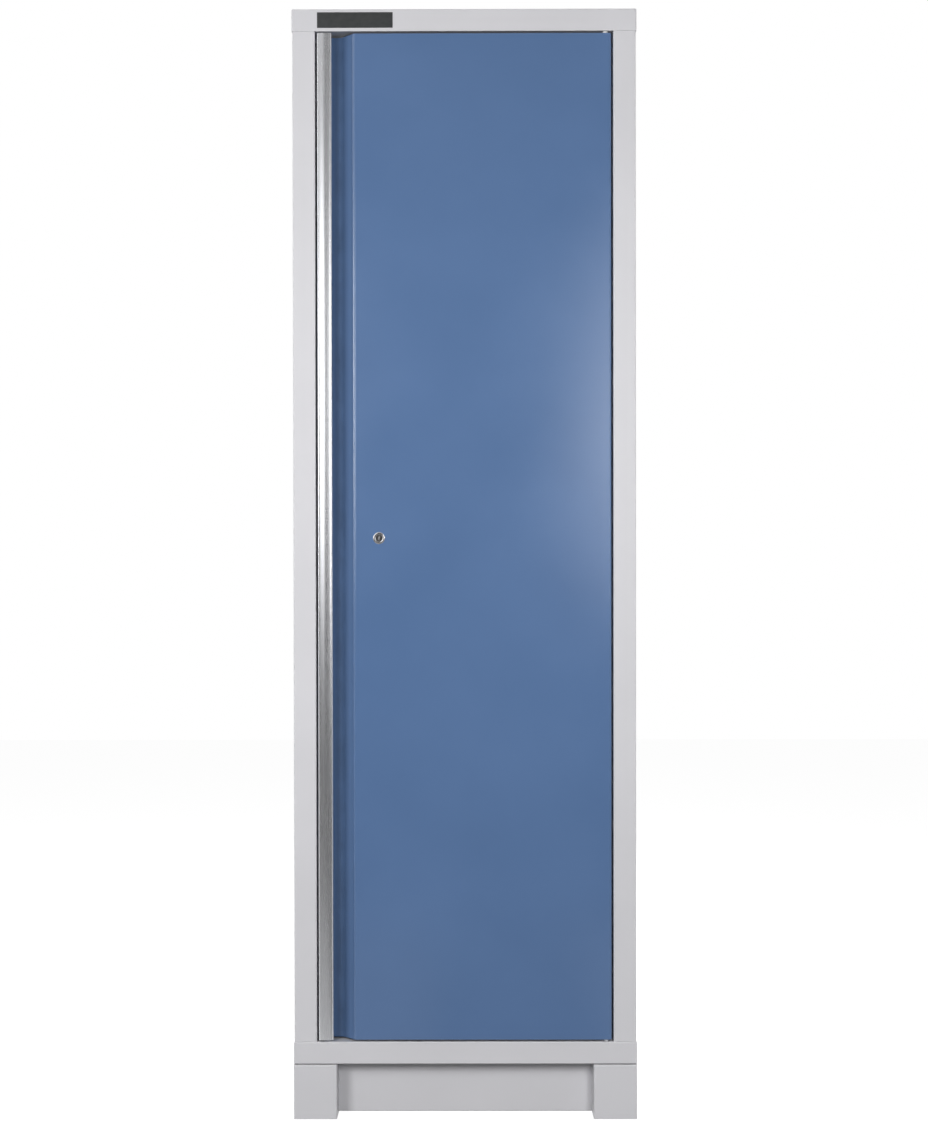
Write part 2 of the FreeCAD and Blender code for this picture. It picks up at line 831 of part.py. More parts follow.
def make_shelf(label, number):
    """Folded shelf tray, drawn with its top at zero and lifted to its place."""
    body = piece(label)
    near = stop_back + dim.shelf_front_clearance
    far = panel_front - dim.shelf_rear_clearance
    under = -dim.shelf_flange
    wall = dim.shelf_sheet
    add(body, "tray", "z", under, 0, [block(-shelf_half, near, shelf_half, far)])
    corners = [edge_at(x=side, y=end) for side in (-shelf_half, shelf_half) for end in (near, far)]
    round_edges(body, "folds", dim.bend_radius, edge_at(z=0), *corners)
    hollow(body, "sheet", wall, edge_at(z=under))
    inside = shelf_half - wall - dim.clip_seat
    front_hem = block(near, under, near + dim.shelf_hem, under + wall)
    rear_hem = block(far - dim.shelf_hem, under, far, under + wall)
    add(body, "hems", "x", -inside, inside, [front_hem, rear_hem])
    bind(body, "Placement.Base.z", shelf_level(number))


def make_shelf_clips(label, number):
    """Four clips under one shelf. Each hooks into a slot and turns in to a seat for the shelf."""
    body = piece(label)
    wall = dim.clip_sheet
    face = -upright_face
    plate = face + wall
    seat = -dim.shelf_flange
    tongue = -dim.shelf_hang + dim.clip_clearance
    hook_face = face - steel - dim.clip_clearance
    hook_back = hook_face - wall
    profile = [
        (face, seat - wall),
        (plate + dim.clip_seat, seat - wall),
        (plate + dim.clip_seat, seat),
        (plate, seat),
        (plate, tongue + wall),
        (hook_back, tongue + wall),
        (hook_back, tongue - dim.clip_hook_drop),
        (hook_face, tongue - dim.clip_hook_drop),
        (hook_face, tongue),
        (face, tongue),
    ]
    half = dim.clip_width / 2
    add(body, "clip", "y", upright_front_y - half, upright_front_y + half, [profile])
    repeat(body, "rear_clip", "y", upright_rear_y - upright_front_y, 2)
    mirror(body, "other_side")
    bind(body, "Placement.Base.z", shelf_level(number))


# Key lines of the door's cross-section, from its free edge
skin_left = -door_half + dim.strip_sheet + dim.strip_clearance
skin_lip = front + dim.strip_sheet + dim.strip_clearance
finger_wall = -door_half + dim.strip_width - dim.finger_depth
recess_back = front + dim.recess_depth
recess_end = -door_half + dim.strip_width + dim.recess_flat
recess_start = recess_end + dim.recess_slant


def make_door_skin():
    """Door pan: front, recess beside the grip strip, folded edges and the return round the back."""
    body = piece("door_skin")
    small = dim.door_edge_radius + dim.edge_round
    outline = [
        (skin_left, door_back),
        (skin_left, skin_lip, small),
        (finger_wall, skin_lip, small),
        (finger_wall, recess_back, dim.door_edge_radius),
        (recess_end, recess_back, dim.recess_hollow),
        (recess_start, front, dim.recess_bend),
        (door_half, front, dim.door_corner_radius),
        (door_half, door_back),
    ]
    add(body, "pan", "z", door_bottom, door_top, [outline])
    ends = [edge_at(y=front, z=level) for level in (door_bottom, door_top)]
    round_edges(body, "end_folds", dim.door_edge_radius, *ends)
    hollow(body, "sheet", dim.door_sheet, edge_at(y=door_back))
    wall = dim.door_sheet
    left = skin_left + wall
    right = door_half - wall
    low = door_bottom + wall
    high = door_top - wall
    lip = dim.door_return
    ring = [block(left, low, right, high), block(left + lip, low + lip, right - lip, high - lip)]
    add(body, "return", "y", door_back - wall, door_back, ring)
    lock_hole = dim.lock_body + 2 * dim.lock_hole_clearance
    cut(body, "lock_hole", "y", front - wall, skin_back + wall, circles=[(lock_x, lock_z, lock_hole)])
    above = door_top + wall
    below = door_bottom - wall
    cut(body, "pin_hole", "z", high - wall, above, circles=[(hinge_x, hinge_y, pin_hole)])
    cut(body, "bush_hole", "z", below, low + wall, circles=[(hinge_x, hinge_y, bush_hole)])
    cut(body, "upper_rod_hole", "z", high - wall, above, [rod_slot(upper_rod_x, dim.rod_hole_clearance)])
    cut(body, "lower_rod_hole", "z", below, low + wall, [rod_slot(lower_rod_x, dim.rod_hole_clearance)])


def make_handle_strip():
    """Crowned stainless strip along the free edge. Its turned-in edge is what the fingers pull."""
    body = piece("handle_strip")
    wall = dim.strip_sheet
    left = -door_half
    right = left + dim.strip_width
    middle = left + dim.strip_width / 2
    crest = front - dim.strip_crown
    corner = dim.strip_corner_radius
    inner_corner = corner - wall
    crown = dim.strip_crown_radius
    profile = [
        (left, front + dim.strip_side),
        (left, front, corner),
        (middle, crest, crown),
        (right, front, corner),
        (right, front + dim.strip_hem),
        (right - wall, front + dim.strip_hem),
        (right - wall, front + wall, inner_corner),
        (middle, crest + wall, crown - wall),
        (left + wall, front + wall, inner_corner),
        (left + wall, front + dim.strip_side),
    ]
    add(body, "profile", "z", door_bottom, door_top, [profile])


def make_door_stiffener():
    """Upright hat channel behind the door's front."""
    body = piece("door_stiffener")
    wall = dim.door_sheet
    middle = -door_half + dim.stiffener_inset
    half = dim.stiffener_width / 2
    wing = half + dim.stiffener_wing
    crest = skin_back + dim.stiffener_depth
    bend = dim.door_edge_radius
    small = bend - wall
    profile = [
        (middle - wing, skin_back),
        (middle - half + wall, skin_back, bend),
        (middle - half + wall, crest - wall, small),
        (middle + half - wall, crest - wall, small),
        (middle + half - wall, skin_back, bend),
        (middle + wing, skin_back),
        (middle + wing, skin_back + wall),
        (middle + half, skin_back + wall, small),
        (middle + half, crest, bend),
        (middle - half, crest, bend),
        (middle - half, skin_back + wall, small),
        (middle - wing, skin_back + wall),
    ]
    low = door_bottom + dim.stiffener_end_gap
    high = door_top - dim.stiffener_end_gap
    add(body, "profile", "z", low, high, [profile])


def make_door_bracket(label, end, way, hole):
    """Angle that stiffens a corner of the door round its hinge pin."""
    body = piece(label)
    inner = door_half - dim.door_sheet - dim.bracket_clearance
    plate_1 = end + way * dim.door_sheet
    plate_2 = plate_1 + way * dim.bracket_sheet
    leg_end = plate_1 + way * dim.bracket_leg
    bend = dim.bracket_sheet + inner_bend
    angle = [
        (inner - dim.bracket_width, plate_1),
        (inner, plate_1, bend),
        (inner, leg_end),
        (inner - dim.bracket_sheet, leg_end),
        (inner - dim.bracket_sheet, plate_2, inner_bend),
        (inner - dim.bracket_width, plate_2),
    ]
    near = front + dim.bracket_setback
    far = door_back - dim.door_sheet - dim.bracket_clearance
    add(body, "angle", "y", near, far, [angle])
    low = plate_1 if way > 0 else plate_2
    cut(body, "hole", "z", low - dim.door_sheet, low + dim.bracket_sheet + dim.door_sheet,
        circles=[(hinge_x, hinge_y, hole)])


def make_upper_hinge():
    """Upper pivot: a pin that stands up from the door, in a flanged bush in the top rail."""
    plate_under = door_top - dim.door_sheet - dim.bracket_sheet
    pin = piece("upper_hinge_pin")
    pin_low_end = plate_under - dim.pin_collar_height - dim.pin_tail
    spot = [(hinge_x, hinge_y, dim.pin_diameter)]
    add(pin, "pin", "z", pin_low_end, opening_top + dim.pin_reach, circles=spot)
    collar = [(hinge_x, hinge_y, dim.pin_collar)]
    add(pin, "collar", "z", plate_under - dim.pin_collar_height, plate_under, circles=collar)
    round_edges(pin, "lead", dim.edge_round, edge_at(z=opening_top + dim.pin_reach))
    bush = piece("upper_hinge_bush")
    flange = [(hinge_x, hinge_y, dim.bush_flange)]
    sleeve = [(hinge_x, hinge_y, dim.bush_diameter)]
    add(bush, "flange", "z", opening_top - dim.bush_flange_height, opening_top, circles=flange)
    add(bush, "sleeve", "z", opening_top, opening_top + dim.bush_length, circles=sleeve)
    cut(bush, "bore", "z", opening_top - 2 * dim.bush_flange_height, opening_top + 2 * dim.bush_length,
        circles=[(hinge_x, hinge_y, pin_hole)])


def make_lower_hinge():
    """Lower pivot: a pin that stands up from the floor through a washer, in a bush in the door."""
    plate = piece("lower_hinge_plate")
    half = dim.hinge_plate_width / 2
    near = post_front + inner_bend + dim.bracket_clearance
    outline = block(hinge_x - half, near, hinge_x + half, near + dim.hinge_plate_depth)
    plate_low = floor_under - dim.hinge_plate_height
    add(plate, "plate", "z", plate_low, floor_under, [outline])
    cut(plate, "hole", "z", plate_low - steel, floor_under + steel, circles=[(hinge_x, hinge_y, pin_hole)])
    pin = piece("lower_hinge_pin")
    spot = [(hinge_x, hinge_y, dim.pin_diameter)]
    top = door_bottom + dim.pin_reach
    add(pin, "pin", "z", plate_low, top, circles=spot)
    round_edges(pin, "lead", dim.edge_round, edge_at(z=top))
    washer = piece("lower_hinge_washer")
    ring = [(hinge_x, hinge_y, dim.bush_flange), (hinge_x, hinge_y, pin_hole)]
    add(washer, "washer", "z", opening_bottom, door_bottom - dim.washer_clearance, circles=ring)
    bush = piece("lower_hinge_bush")
    seat = door_bottom + dim.door_sheet + dim.bracket_sheet
    sleeve = [(hinge_x, hinge_y, dim.bush_diameter)]
    flange = [(hinge_x, hinge_y, dim.bush_flange)]
    add(bush, "sleeve", "z", door_bottom, seat, circles=sleeve)
    add(bush, "flange", "z", seat, door_bottom + dim.bush_length, circles=flange)
    cut(bush, "bore", "z", door_bottom - steel, door_bottom + 2 * dim.bush_length,
        circles=[(hinge_x, hinge_y, pin_hole)])


def make_lock():
    """Cylinder lock: housing and nut on the door, and the plug, cam and screw that turn."""
    bore = dim.plug_diameter + 2 * dim.plug_clearance
    face = front - dim.lock_bezel_height
    housing = piece("lock_housing")
    add(housing, "bezel", "y", face, front, circles=[(lock_x, lock_z, dim.lock_bezel)])
    round_edges(housing, "bezel_round", dim.lock_bezel_round, edge_at(y=face))
    add(housing, "barrel", "y", front, housing_back, circles=[(lock_x, lock_z, dim.lock_body)])
    cut(housing, "bore", "y", face - steel, housing_back + steel, circles=[(lock_x, lock_z, bore)])
    nut = piece("lock_nut")
    nut_bore = dim.lock_body + 2 * dim.lock_hole_clearance
    add(nut, "nut", "y", skin_back, skin_back + dim.lock_nut_height,
        [hexagon(lock_x, lock_z, dim.lock_nut_across_flats)], circles=[(lock_x, lock_z, nut_bore)])

    plug = piece("lock_plug")
    plug_face = face + dim.plug_recess
    tang_half = dim.tang_side / 2
    tang = block(lock_x - tang_half, lock_z - tang_half, lock_x + tang_half, lock_z + tang_half)
    add(plug, "plug", "y", plug_face, housing_back, circles=[(lock_x, lock_z, dim.plug_diameter)])
    add(plug, "tang", "y", housing_back, cam_back, [tang])
    half_slot = dim.keyway_width / 2
    half_key = dim.keyway_length / 2
    keyway = block(lock_x - half_slot, lock_z - half_key, lock_x + half_slot, lock_z + half_key)
    cut(plug, "keyway", "y", plug_face - steel, plug_face + dim.keyway_depth, [keyway])
    screw_hole = dim.cam_screw_diameter + 2 * dim.plug_clearance
    cut(plug, "screw_hole", "y", cam_back - dim.cam_screw_length - steel, cam_back + steel,
        circles=[(lock_x, lock_z, screw_hole)])

    cam = piece("lock_cam")
    hole_half = tang_half + dim.tang_clearance
    hole = block(lock_x - hole_half, lock_z - hole_half, lock_x + hole_half, lock_z + hole_half)
    add(cam, "disc", "y", cam_front, cam_back, circles=[(lock_x, lock_z, dim.cam_diameter)])
    pins = [(lock_x - pin_low, lock_z - pin_low, dim.cam_pin_diameter),
            (lock_x + pin_low, lock_z + pin_low, dim.cam_pin_diameter)]
    add(cam, "pins", "y", cam_back, rod_back + dim.rod_gap, circles=pins)
    cut(cam, "tang_hole", "y", cam_front - steel, cam_back + steel, [hole])

    screw = piece("cam_screw")
    head_back = cam_back + dim.cam_screw_head_height
    add(screw, "head", "y", cam_back, head_back, circles=[(lock_x, lock_z, dim.cam_screw_head)])
    round_edges(screw, "head_round", dim.edge_round, edge_at(y=head_back))
    add(screw, "shank", "y", cam_back - dim.cam_screw_length, cam_back,
        circles=[(lock_x, lock_z, dim.cam_screw_diameter)])


def make_lock_rod(label, way, across, tip):
    """Flat rod from the cam to one end of the door. Its yoke is drawn along by a pin of the cam."""
    body = piece(label)
    swing = (dim.cam_pin_pitch - pin_low) / 2
    slot_half = swing + dim.cam_pin_diameter / 2 + dim.cam_pin_clearance
    slot_rise = dim.cam_pin_diameter / 2 + dim.cam_pin_clearance
    pin_level = lock_z - way * pin_low
    yoke_half = slot_half + dim.yoke_wall
    yoke_rise = slot_rise + dim.yoke_wall
    bar_half = dim.rod_width / 2
    yoke_end = pin_level - way * yoke_rise
    yoke_top = pin_level + way * yoke_rise
    outline = [
        (across - yoke_half, yoke_end),
        (across + yoke_half, yoke_end),
        (across + yoke_half, yoke_top),
        (across + bar_half, yoke_top),
        (across + bar_half, tip),
        (across - bar_half, tip),
        (across - bar_half, yoke_top),
        (across - yoke_half, yoke_top),
    ]
    slot = block(across - slot_half, pin_level - slot_rise, across + slot_half, pin_level + slot_rise)
    add(body, "rod", "y", rod_front, rod_back, [outline])
    cut(body, "slot", "y", rod_front - steel, rod_back + steel, [slot])


def make_rod_guides(label, way, across, end):
    """Two blocks on the door's front sheet that keep a lock rod straight, near the lock and the end."""
    body = piece(label)
    near_lock = lock_z + way * dim.guide_lock_gap
    near_end = end - way * dim.guide_end_gap
    lowest = near_lock if way > 0 else near_end
    half = dim.guide_width / 2
    guide_back = rod_back + dim.guide_clearance + dim.guide_wall
    outline = block(across - half, skin_back, across + half, guide_back)
    slot = rod_slot(across, dim.guide_clearance)
    low = lowest - dim.guide_height / 2
    add(body, "guide", "z", low, low + dim.guide_height, [outline, slot])
    repeat(body, "second", "z", way * (near_end - near_lock), 2)


# Pads and catches stand on the stop lip of the closing post, just clear of the door's return
pad_x = -opening_half + dim.stop_lip / 2 + dim.door_gap / 2
pad_front = door_back + dim.stop_clearance


def make_door_pads():
    """Rubber stop pads."""
    body = piece("door_buffers")
    low = opening_bottom + dim.pad_end_gap
    span = opening_top - opening_bottom - 2 * dim.pad_end_gap
    add(body, "pad", "y", pad_front, stop_front, circles=[(pad_x, low, dim.pad_diameter)])
    round_edges(body, "round", dim.pad_round, edge_at(y=pad_front))
    repeat(body, "row", "z", span / (count.stop_pads - 1), count.stop_pads)


def make_catches():
    """Magnetic catches: a case with a bar magnet let into its face."""
    case = piece("catch_bodies")
    magnet = piece("catch_magnets")
    middle = opening_bottom + dim.catch_end_gap
    half = dim.catch_width / 2
    rise = dim.catch_length / 2
    pocket_half = dim.magnet_width / 2
    pocket_rise = dim.magnet_length / 2
    outline = block(pad_x - half, middle - rise, pad_x + half, middle + rise)
    inset = block(pad_x - pocket_half, middle - pocket_rise, pad_x + pocket_half, middle + pocket_rise)
    add(case, "case", "y", pad_front, stop_front, [outline])
    round_edges(case, "edge", dim.edge_round, edge_at(y=pad_front))
    cut(case, "pocket", "y", pad_front - steel, pad_front + dim.magnet_depth, [inset])
    add(magnet, "magnet", "y", pad_front - dim.magnet_proud, pad_front + dim.magnet_depth, [inset])
    spacing = opening_top - opening_bottom - 2 * dim.catch_end_gap
    repeat(case, "second", "z", spacing, 2)
    repeat(magnet, "second", "z", spacing, 2)


make_top_cap()
make_bottom_tray()
for hand, side in ((-1, "left"), (1, "right")):
    make_side_panel(side + "_side_panel", hand)
make_back_panel()
make_back_rivets()
for hand, side in ((-1, "left"), (1, "right")):
    make_foot(side + "_foot", hand)
    make_base_side("base_%s_rail" % side, hand)
make_kick_panel()
make_base_rear()
make_base_bolts()
make_name_plate()
for hand, side in ((-1, "left"), (1, "right")):
    make_upright("%s_front_upright" % side, hand, upright_front_y)
    make_upright("%s_rear_upright" % side, hand, upright_rear_y)
for number in range(count.shelves):
    make_shelf("shelf_%d" % (number + 1), number)
    make_shelf_clips("shelf_clips_%d" % (number + 1), number)
make_door_skin()
make_handle_strip()
make_door_stiffener()
make_door_bracket("upper_door_bracket", door_top, -1, pin_hole)
make_door_bracket("lower_door_bracket", door_bottom, 1, bush_hole)
make_upper_hinge()
make_lower_hinge()
make_lock()
make_lock_rod("upper_lock_rod", 1, upper_rod_x, door_top + dim.rod_tip_reach)
make_lock_rod("lower_lock_rod", -1, lower_rod_x, door_bottom - dim.rod_tip_reach)
make_rod_guides("upper_rod_guides", 1, upper_rod_x, door_top)
make_rod_guides("lower_rod_guides", -1, lower_rod_x, door_bottom)
make_door_pads()
make_catches()

# See that every object is sound, then write each sub-part to its own file
doc.recompute()
for item in doc.Objects:
    if "Invalid" in item.State or "Error" in item.State:
        raise RuntimeError("%s is not sound: %s" % (item.Label, item.State))
for body in pieces:
    if body.Shape.isNull() or not body.Shape.isValid():
        raise RuntimeError("%s has no valid shape" % body.Label)

os.makedirs("parts", exist_ok=True)
for body in pieces:
    body.Shape.exportStep(os.path.join("parts", body.Label + ".step"))
    print("%-22s %2d solids %12.1f mm3" % (body.Label, len(body.Shape.Solids), body.Shape.Volume))
print(len(pieces), "sub-parts; the lock rods travel", round(rod_throw.value, 3), "mm")
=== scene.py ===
# %% [markdown]
# # A workshop cabinet, from bare solids to painted steel
#
# The frame that this lesson loads is a tall cabinet of folded sheet steel: a grey carcass on a base
# with a toe space, one blue door on pivot pins, a bright grip strip down the door's free edge and a
# small cylinder lock. Its shapes are right already, so they aren't touched here. What they lack is
# what a painter, a plater and a photographer would give them: finishes, small worked details, light
# and a camera.
#
# Every length is in metres. X runs to the right, Y to the back and Z up, from the floor under the
# middle of the cabinet.

# %% Load the frame
import json
import math

import bmesh
import bpy
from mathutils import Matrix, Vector


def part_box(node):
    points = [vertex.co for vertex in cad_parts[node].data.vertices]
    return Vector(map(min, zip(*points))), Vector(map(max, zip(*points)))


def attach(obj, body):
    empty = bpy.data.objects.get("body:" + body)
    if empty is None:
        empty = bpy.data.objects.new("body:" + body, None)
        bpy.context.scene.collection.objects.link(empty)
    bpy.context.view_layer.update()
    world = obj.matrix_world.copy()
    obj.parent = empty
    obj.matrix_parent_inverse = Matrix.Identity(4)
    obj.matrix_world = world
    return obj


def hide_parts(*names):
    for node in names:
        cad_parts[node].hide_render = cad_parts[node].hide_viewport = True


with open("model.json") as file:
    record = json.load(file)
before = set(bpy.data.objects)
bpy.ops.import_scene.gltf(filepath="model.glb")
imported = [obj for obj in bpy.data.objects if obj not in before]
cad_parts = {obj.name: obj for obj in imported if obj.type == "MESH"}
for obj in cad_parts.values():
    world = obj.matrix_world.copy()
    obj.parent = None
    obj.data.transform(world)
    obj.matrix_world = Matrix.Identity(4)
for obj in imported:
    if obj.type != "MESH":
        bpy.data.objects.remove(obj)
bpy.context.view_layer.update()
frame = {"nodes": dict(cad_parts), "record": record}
solids = frame["nodes"]
slot_of = {row["node"]: row["material_slot"] for row in frame["record"]["subparts"]}

# %% [markdown]
# ## Where the photographer stood
#
# The picture is a straight front view with very little perspective, taken from a bit over three
# metres away at about waist height. A camera could be aimed at the middle of the cabinet, but then
# upright edges would lean. It stands almost level instead, and its frame is slid on the sensor with
# two small shifts, as with a shift lens. The tripod wasn't quite true: the camera looks half a
# degree down, a fifth of a degree to the left, and leans by less than a tenth.

# %% Camera
FRONT_FACE = -0.230
EYE = (-0.0018, FRONT_FACE - 3.1, 0.917)
LENS, SENSOR = 54.28, 36.0
SHIFT_ACROSS, SHIFT_UP = 0.0060, 0.0500
TILT_DOWN, LEAN, TURN_LEFT = 0.53, 0.085, 0.219

camera_data = bpy.data.cameras.new("tripod_camera")
camera_data.sensor_fit = "VERTICAL"
camera_data.sensor_height = SENSOR
camera_data.sensor_width = SENSOR
camera_data.lens = LENS
camera_data.shift_x = SHIFT_ACROSS
camera_data.shift_y = SHIFT_UP
camera = bpy.data.objects.new("tripod_camera", camera_data)
bpy.context.scene.collection.objects.link(camera)
camera.location = EYE
camera.rotation_euler = [math.radians(turn) for turn in (90 - TILT_DOWN, LEAN, TURN_LEFT)]
bpy.context.scene.camera = camera
bpy.context.scene.view_settings.view_transform = "Standard"
print("lens", LENS, "mm, eye at", EYE)

# %% [markdown]
# ## Nodes without clutter
#
# A material is a small diagram of nodes. Placing each node by hand takes four lines, so one helper
# adds a node, sets its properties, and fills its sockets: a socket given a plain value is set, and
# a socket given another node's output is wired to it.


# %% Node helpers
def put(tree, kind, sockets=None, **settings):
    node = tree.nodes.new(kind)
    for name, value in settings.items():
        setattr(node, name, value)
    for name, value in (sockets or {}).items():
        if isinstance(value, bpy.types.NodeSocket):
            tree.links.new(value, node.inputs[name])
        else:
            node.inputs[name].default_value = value
    return node


def maths(tree, operation, first, second=0.0, third=0.0, clamp=False):
    node = put(tree, "ShaderNodeMath", {0: first, 1: second, 2: third},
               operation=operation, use_clamp=clamp)
    return node.outputs["Value"]


def rgba(red, green, blue):
    return (red, green, blue, 1.0)


def grey(level):
    return rgba(level, level, level)


print("node helpers ready")

# %% [markdown]
# ## The studio
#
# The cabinet stands on a white floor in front of a white sweep. Two softboxes light it: the
# stronger one stands to the left and throws the short shadows beside the left foot and under the
# bottom rail, and the weaker one stands to the right. Four quiet fills behind the front's plane
# light the sides, the back and the roof, for whoever walks round it.
#
# The white of the background could be made with more light, but that would bleach the paint. It
# comes from the world instead: rays from the camera, from a reflection or through glass see plain
# white, and the rest see a quiet grey that fills the shadows.

# %% World
world = bpy.data.worlds.new("white_studio")
bpy.context.scene.world = world
world.use_nodes = True
sky = world.node_tree
sky.nodes.clear()


def seen_directly(tree):
    """1 for rays that show a background: from the camera, a reflection, or through glass."""
    path = put(tree, "ShaderNodeLightPath").outputs
    mirrored = maths(tree, "MAXIMUM", path["Is Camera Ray"], path["Is Glossy Ray"])
    return maths(tree, "MAXIMUM", mirrored, path["Is Transmission Ray"])


AMBIENT = 0.21
fill = put(sky, "ShaderNodeBackground", {"Color": grey(1.0), "Strength": AMBIENT})
white = put(sky, "ShaderNodeBackground", {"Color": grey(1.0), "Strength": 1.0})
either = put(sky, "ShaderNodeMixShader",
             {0: seen_directly(sky), 1: fill.outputs[0], 2: white.outputs[0]})
put(sky, "ShaderNodeOutputWorld", {"Surface": either.outputs[0]})
print("world: ambient", AMBIENT)


# %% Softboxes
def softbox(name, place, aim, width, height, watts):
    """An area lamp that no picture and no reflection shows."""
    lamp = bpy.data.lights.new(name, "AREA")
    lamp.shape = "RECTANGLE"
    lamp.size = width
    lamp.size_y = height
    lamp.energy = watts
    holder = bpy.data.objects.new(name, lamp)
    bpy.context.scene.collection.objects.link(holder)
    holder.location = place
    holder.rotation_euler = (Vector(aim) - Vector(place)).to_track_quat("-Z", "Y").to_euler()
    holder.visible_camera = False
    holder.visible_glossy = False


softbox("left_softbox", (-1.30, -2.59, 1.43), (0.0, -0.23, 1.05), 0.68, 0.94, 35.6)
softbox("right_softbox", (0.62, -2.79, 1.27), (0.0, -0.23, 1.00), 0.56, 0.66, 31.4)
softbox("left_fill", (-3.0, 0.45, 1.40), (-0.31, 0.15, 1.05), 1.2, 1.8, 25.0)
softbox("right_fill", (3.0, 0.45, 1.40), (0.31, 0.15, 1.05), 1.2, 1.8, 23.0)
softbox("rear_fill", (0.3, 3.1, 1.50), (0.0, 0.23, 1.05), 1.4, 1.8, 27.0)
softbox("roof_fill", (0.2, 0.9, 4.60), (0.0, 0.0, 2.0), 1.4, 1.4, 27.0)
print("two softboxes and four fills")

# %% [markdown]
# The floor uses the same switch as the world. Seen directly it glows almost white and still takes a
# faint shadow, but as a surface that throws light back on the cabinet it is a dark grey.


# %% Sheets and blank paints
def blank_paint(name):
    """A material with an empty diagram."""
    paint = bpy.data.materials.new(name)
    paint.use_nodes = True
    paint.node_tree.nodes.clear()
    return paint, paint.node_tree


def sheet_of(name, corners):
    mesh = bpy.data.meshes.new(name)
    mesh.from_pydata(corners, [], [tuple(range(len(corners)))])
    thing = bpy.data.objects.new(name, mesh)
    bpy.context.scene.collection.objects.link(thing)
    return thing


print("sheets ready")

# %% Floor
FLOOR_REACH, FLOOR_DROP = 9.0, 0.0004
BOUNCE_LEVEL, SEEN_LEVEL, SEEN_GLOW = 0.22, 0.36, 0.90
FOUR_WAYS = ((-1, -1), (1, -1), (1, 1), (-1, 1))

floor = sheet_of("studio_floor", [(x * FLOOR_REACH, y * FLOOR_REACH, 0) for x, y in FOUR_WAYS])
floor.location.z = -FLOOR_DROP
floor_paint, tree = blank_paint("studio_floor")
plain = put(tree, "ShaderNodeBsdfDiffuse", {"Color": grey(BOUNCE_LEVEL)})
shaded = put(tree, "ShaderNodeBsdfDiffuse", {"Color": grey(SEEN_LEVEL)})
glow = put(tree, "ShaderNodeEmission", {"Color": grey(SEEN_GLOW), "Strength": 1.0})
lit = put(tree, "ShaderNodeAddShader", {0: shaded.outputs[0], 1: glow.outputs[0]})
both = put(tree, "ShaderNodeMixShader",
           {0: seen_directly(tree), 1: plain.outputs[0], 2: lit.outputs[0]})
put(tree, "ShaderNodeOutputMaterial", {"Surface": both.outputs[0]})
floor.data.materials.append(floor_paint)
print("floor", 2 * FLOOR_REACH, "m wide")

# %% [markdown]
# Bright metal has no look of its own, it shows the room. The real room was darker than the sweep: a
# grey wall behind the camera, the dark camera on its stand in the middle, and a floor that is
# bright near the cabinet only. Cards stand for them, and bright ones, which fade to nothing at
# their rims, stand for the softboxes: a right one leaves the soft sheen near the door's right edge.
# Only reflections see the cards, so they neither light the cabinet nor show in the picture.


# %% Plain cards
def reflect_only(card, level):
    """Give a sheet a plain glow that shows in reflections only."""
    paint, tree = blank_paint(card.name)
    glow = put(tree, "ShaderNodeEmission", {"Color": grey(level), "Strength": 1.0})
    put(tree, "ShaderNodeOutputMaterial", {"Surface": glow.outputs[0]})
    card.data.materials.append(paint)
    card.visible_camera = False
    card.visible_diffuse = False
    card.visible_transmission = False
    card.visible_shadow = False
    return tree, glow


def upright_card(name, left, right, low, high, y, level):
    corners = [(left, y, low), (right, y, low), (right, y, high), (left, y, high)]
    return reflect_only(sheet_of(name, corners), level)


def floor_card(name, left, right, near, far, level, lift=0.002):
    corners = [(left, far, lift), (right, far, lift), (right, near, lift), (left, near, lift)]
    reflect_only(sheet_of(name, corners), level)


print("plain cards ready")


# %% Glowing cards
def glow_card(name, middle, half_width, half_height, peak):
    """A card that glows in its middle and fades towards its rim, as a softbox does."""
    x, y, z = middle
    sides = (x - half_width, x + half_width, z - half_height, z + half_height)
    tree, glow = upright_card(name, *sides, y, 1.0)
    where = put(tree, "ShaderNodeTexCoord").outputs["Object"]
    sockets = {"Vector": where, "Location": middle, "Scale": (half_width, 1.0, half_height)}
    place = put(tree, "ShaderNodeMapping", sockets, vector_type="TEXTURE")
    part = put(tree, "ShaderNodeSeparateXYZ", {0: place.outputs[0]}).outputs
    across = maths(tree, "POWER", part["X"], 2.0)
    outward = maths(tree, "MULTIPLY_ADD", part["Z"], part["Z"], across)
    inward = maths(tree, "SUBTRACT", 1.0, outward, clamp=True)
    strength = maths(tree, "MULTIPLY", maths(tree, "POWER", inward, 2.0), peak)
    tree.links.new(strength, glow.inputs["Strength"])


print("glowing cards ready")

# %% The room in cards
upright_card("far_wall_card", -6.0, 6.0, 0.0, 2.9, -6.0, 0.14)
upright_card("upper_wall_card", -6.0, 6.0, 2.9, 6.0, -6.0, 0.24)
upright_card("upper_left_card", -4.0, -0.60, 2.6, 4.4, -4.5, 0.75)
upright_card("camera_card", -0.50, -0.14, 0.75, 1.65, -3.70, 0.03)
glow_card("left_glow_card", (-1.02, -3.15, 1.75), 0.68, 1.13, 5.0)
glow_card("side_glow_card", (-4.90, -3.15, 2.05), 1.80, 1.25, 15.0)
glow_card("right_glow_card", (0.85, -3.34, 1.65), 0.55, 1.05, 9.2)
glow_card("right_side_glow_card", (4.20, -3.15, 1.60), 1.40, 1.45, 6.0)
floor_card("left_floor_card", -3.0, -0.06, -0.6, -2.2, 0.52)
floor_card("right_floor_card", -0.06, 0.30, -0.6, -2.2, 0.20)
floor_card("outer_floor_card", 0.30, 3.0, -0.6, -2.2, 0.60)
floor_card("far_floor_card", -6.0, 6.0, -2.2, -6.0, 0.15)
upright_card("side_wall_card", 6.0, 9.0, 0.0, 6.0, -6.0, 0.14)
print("thirteen cards")

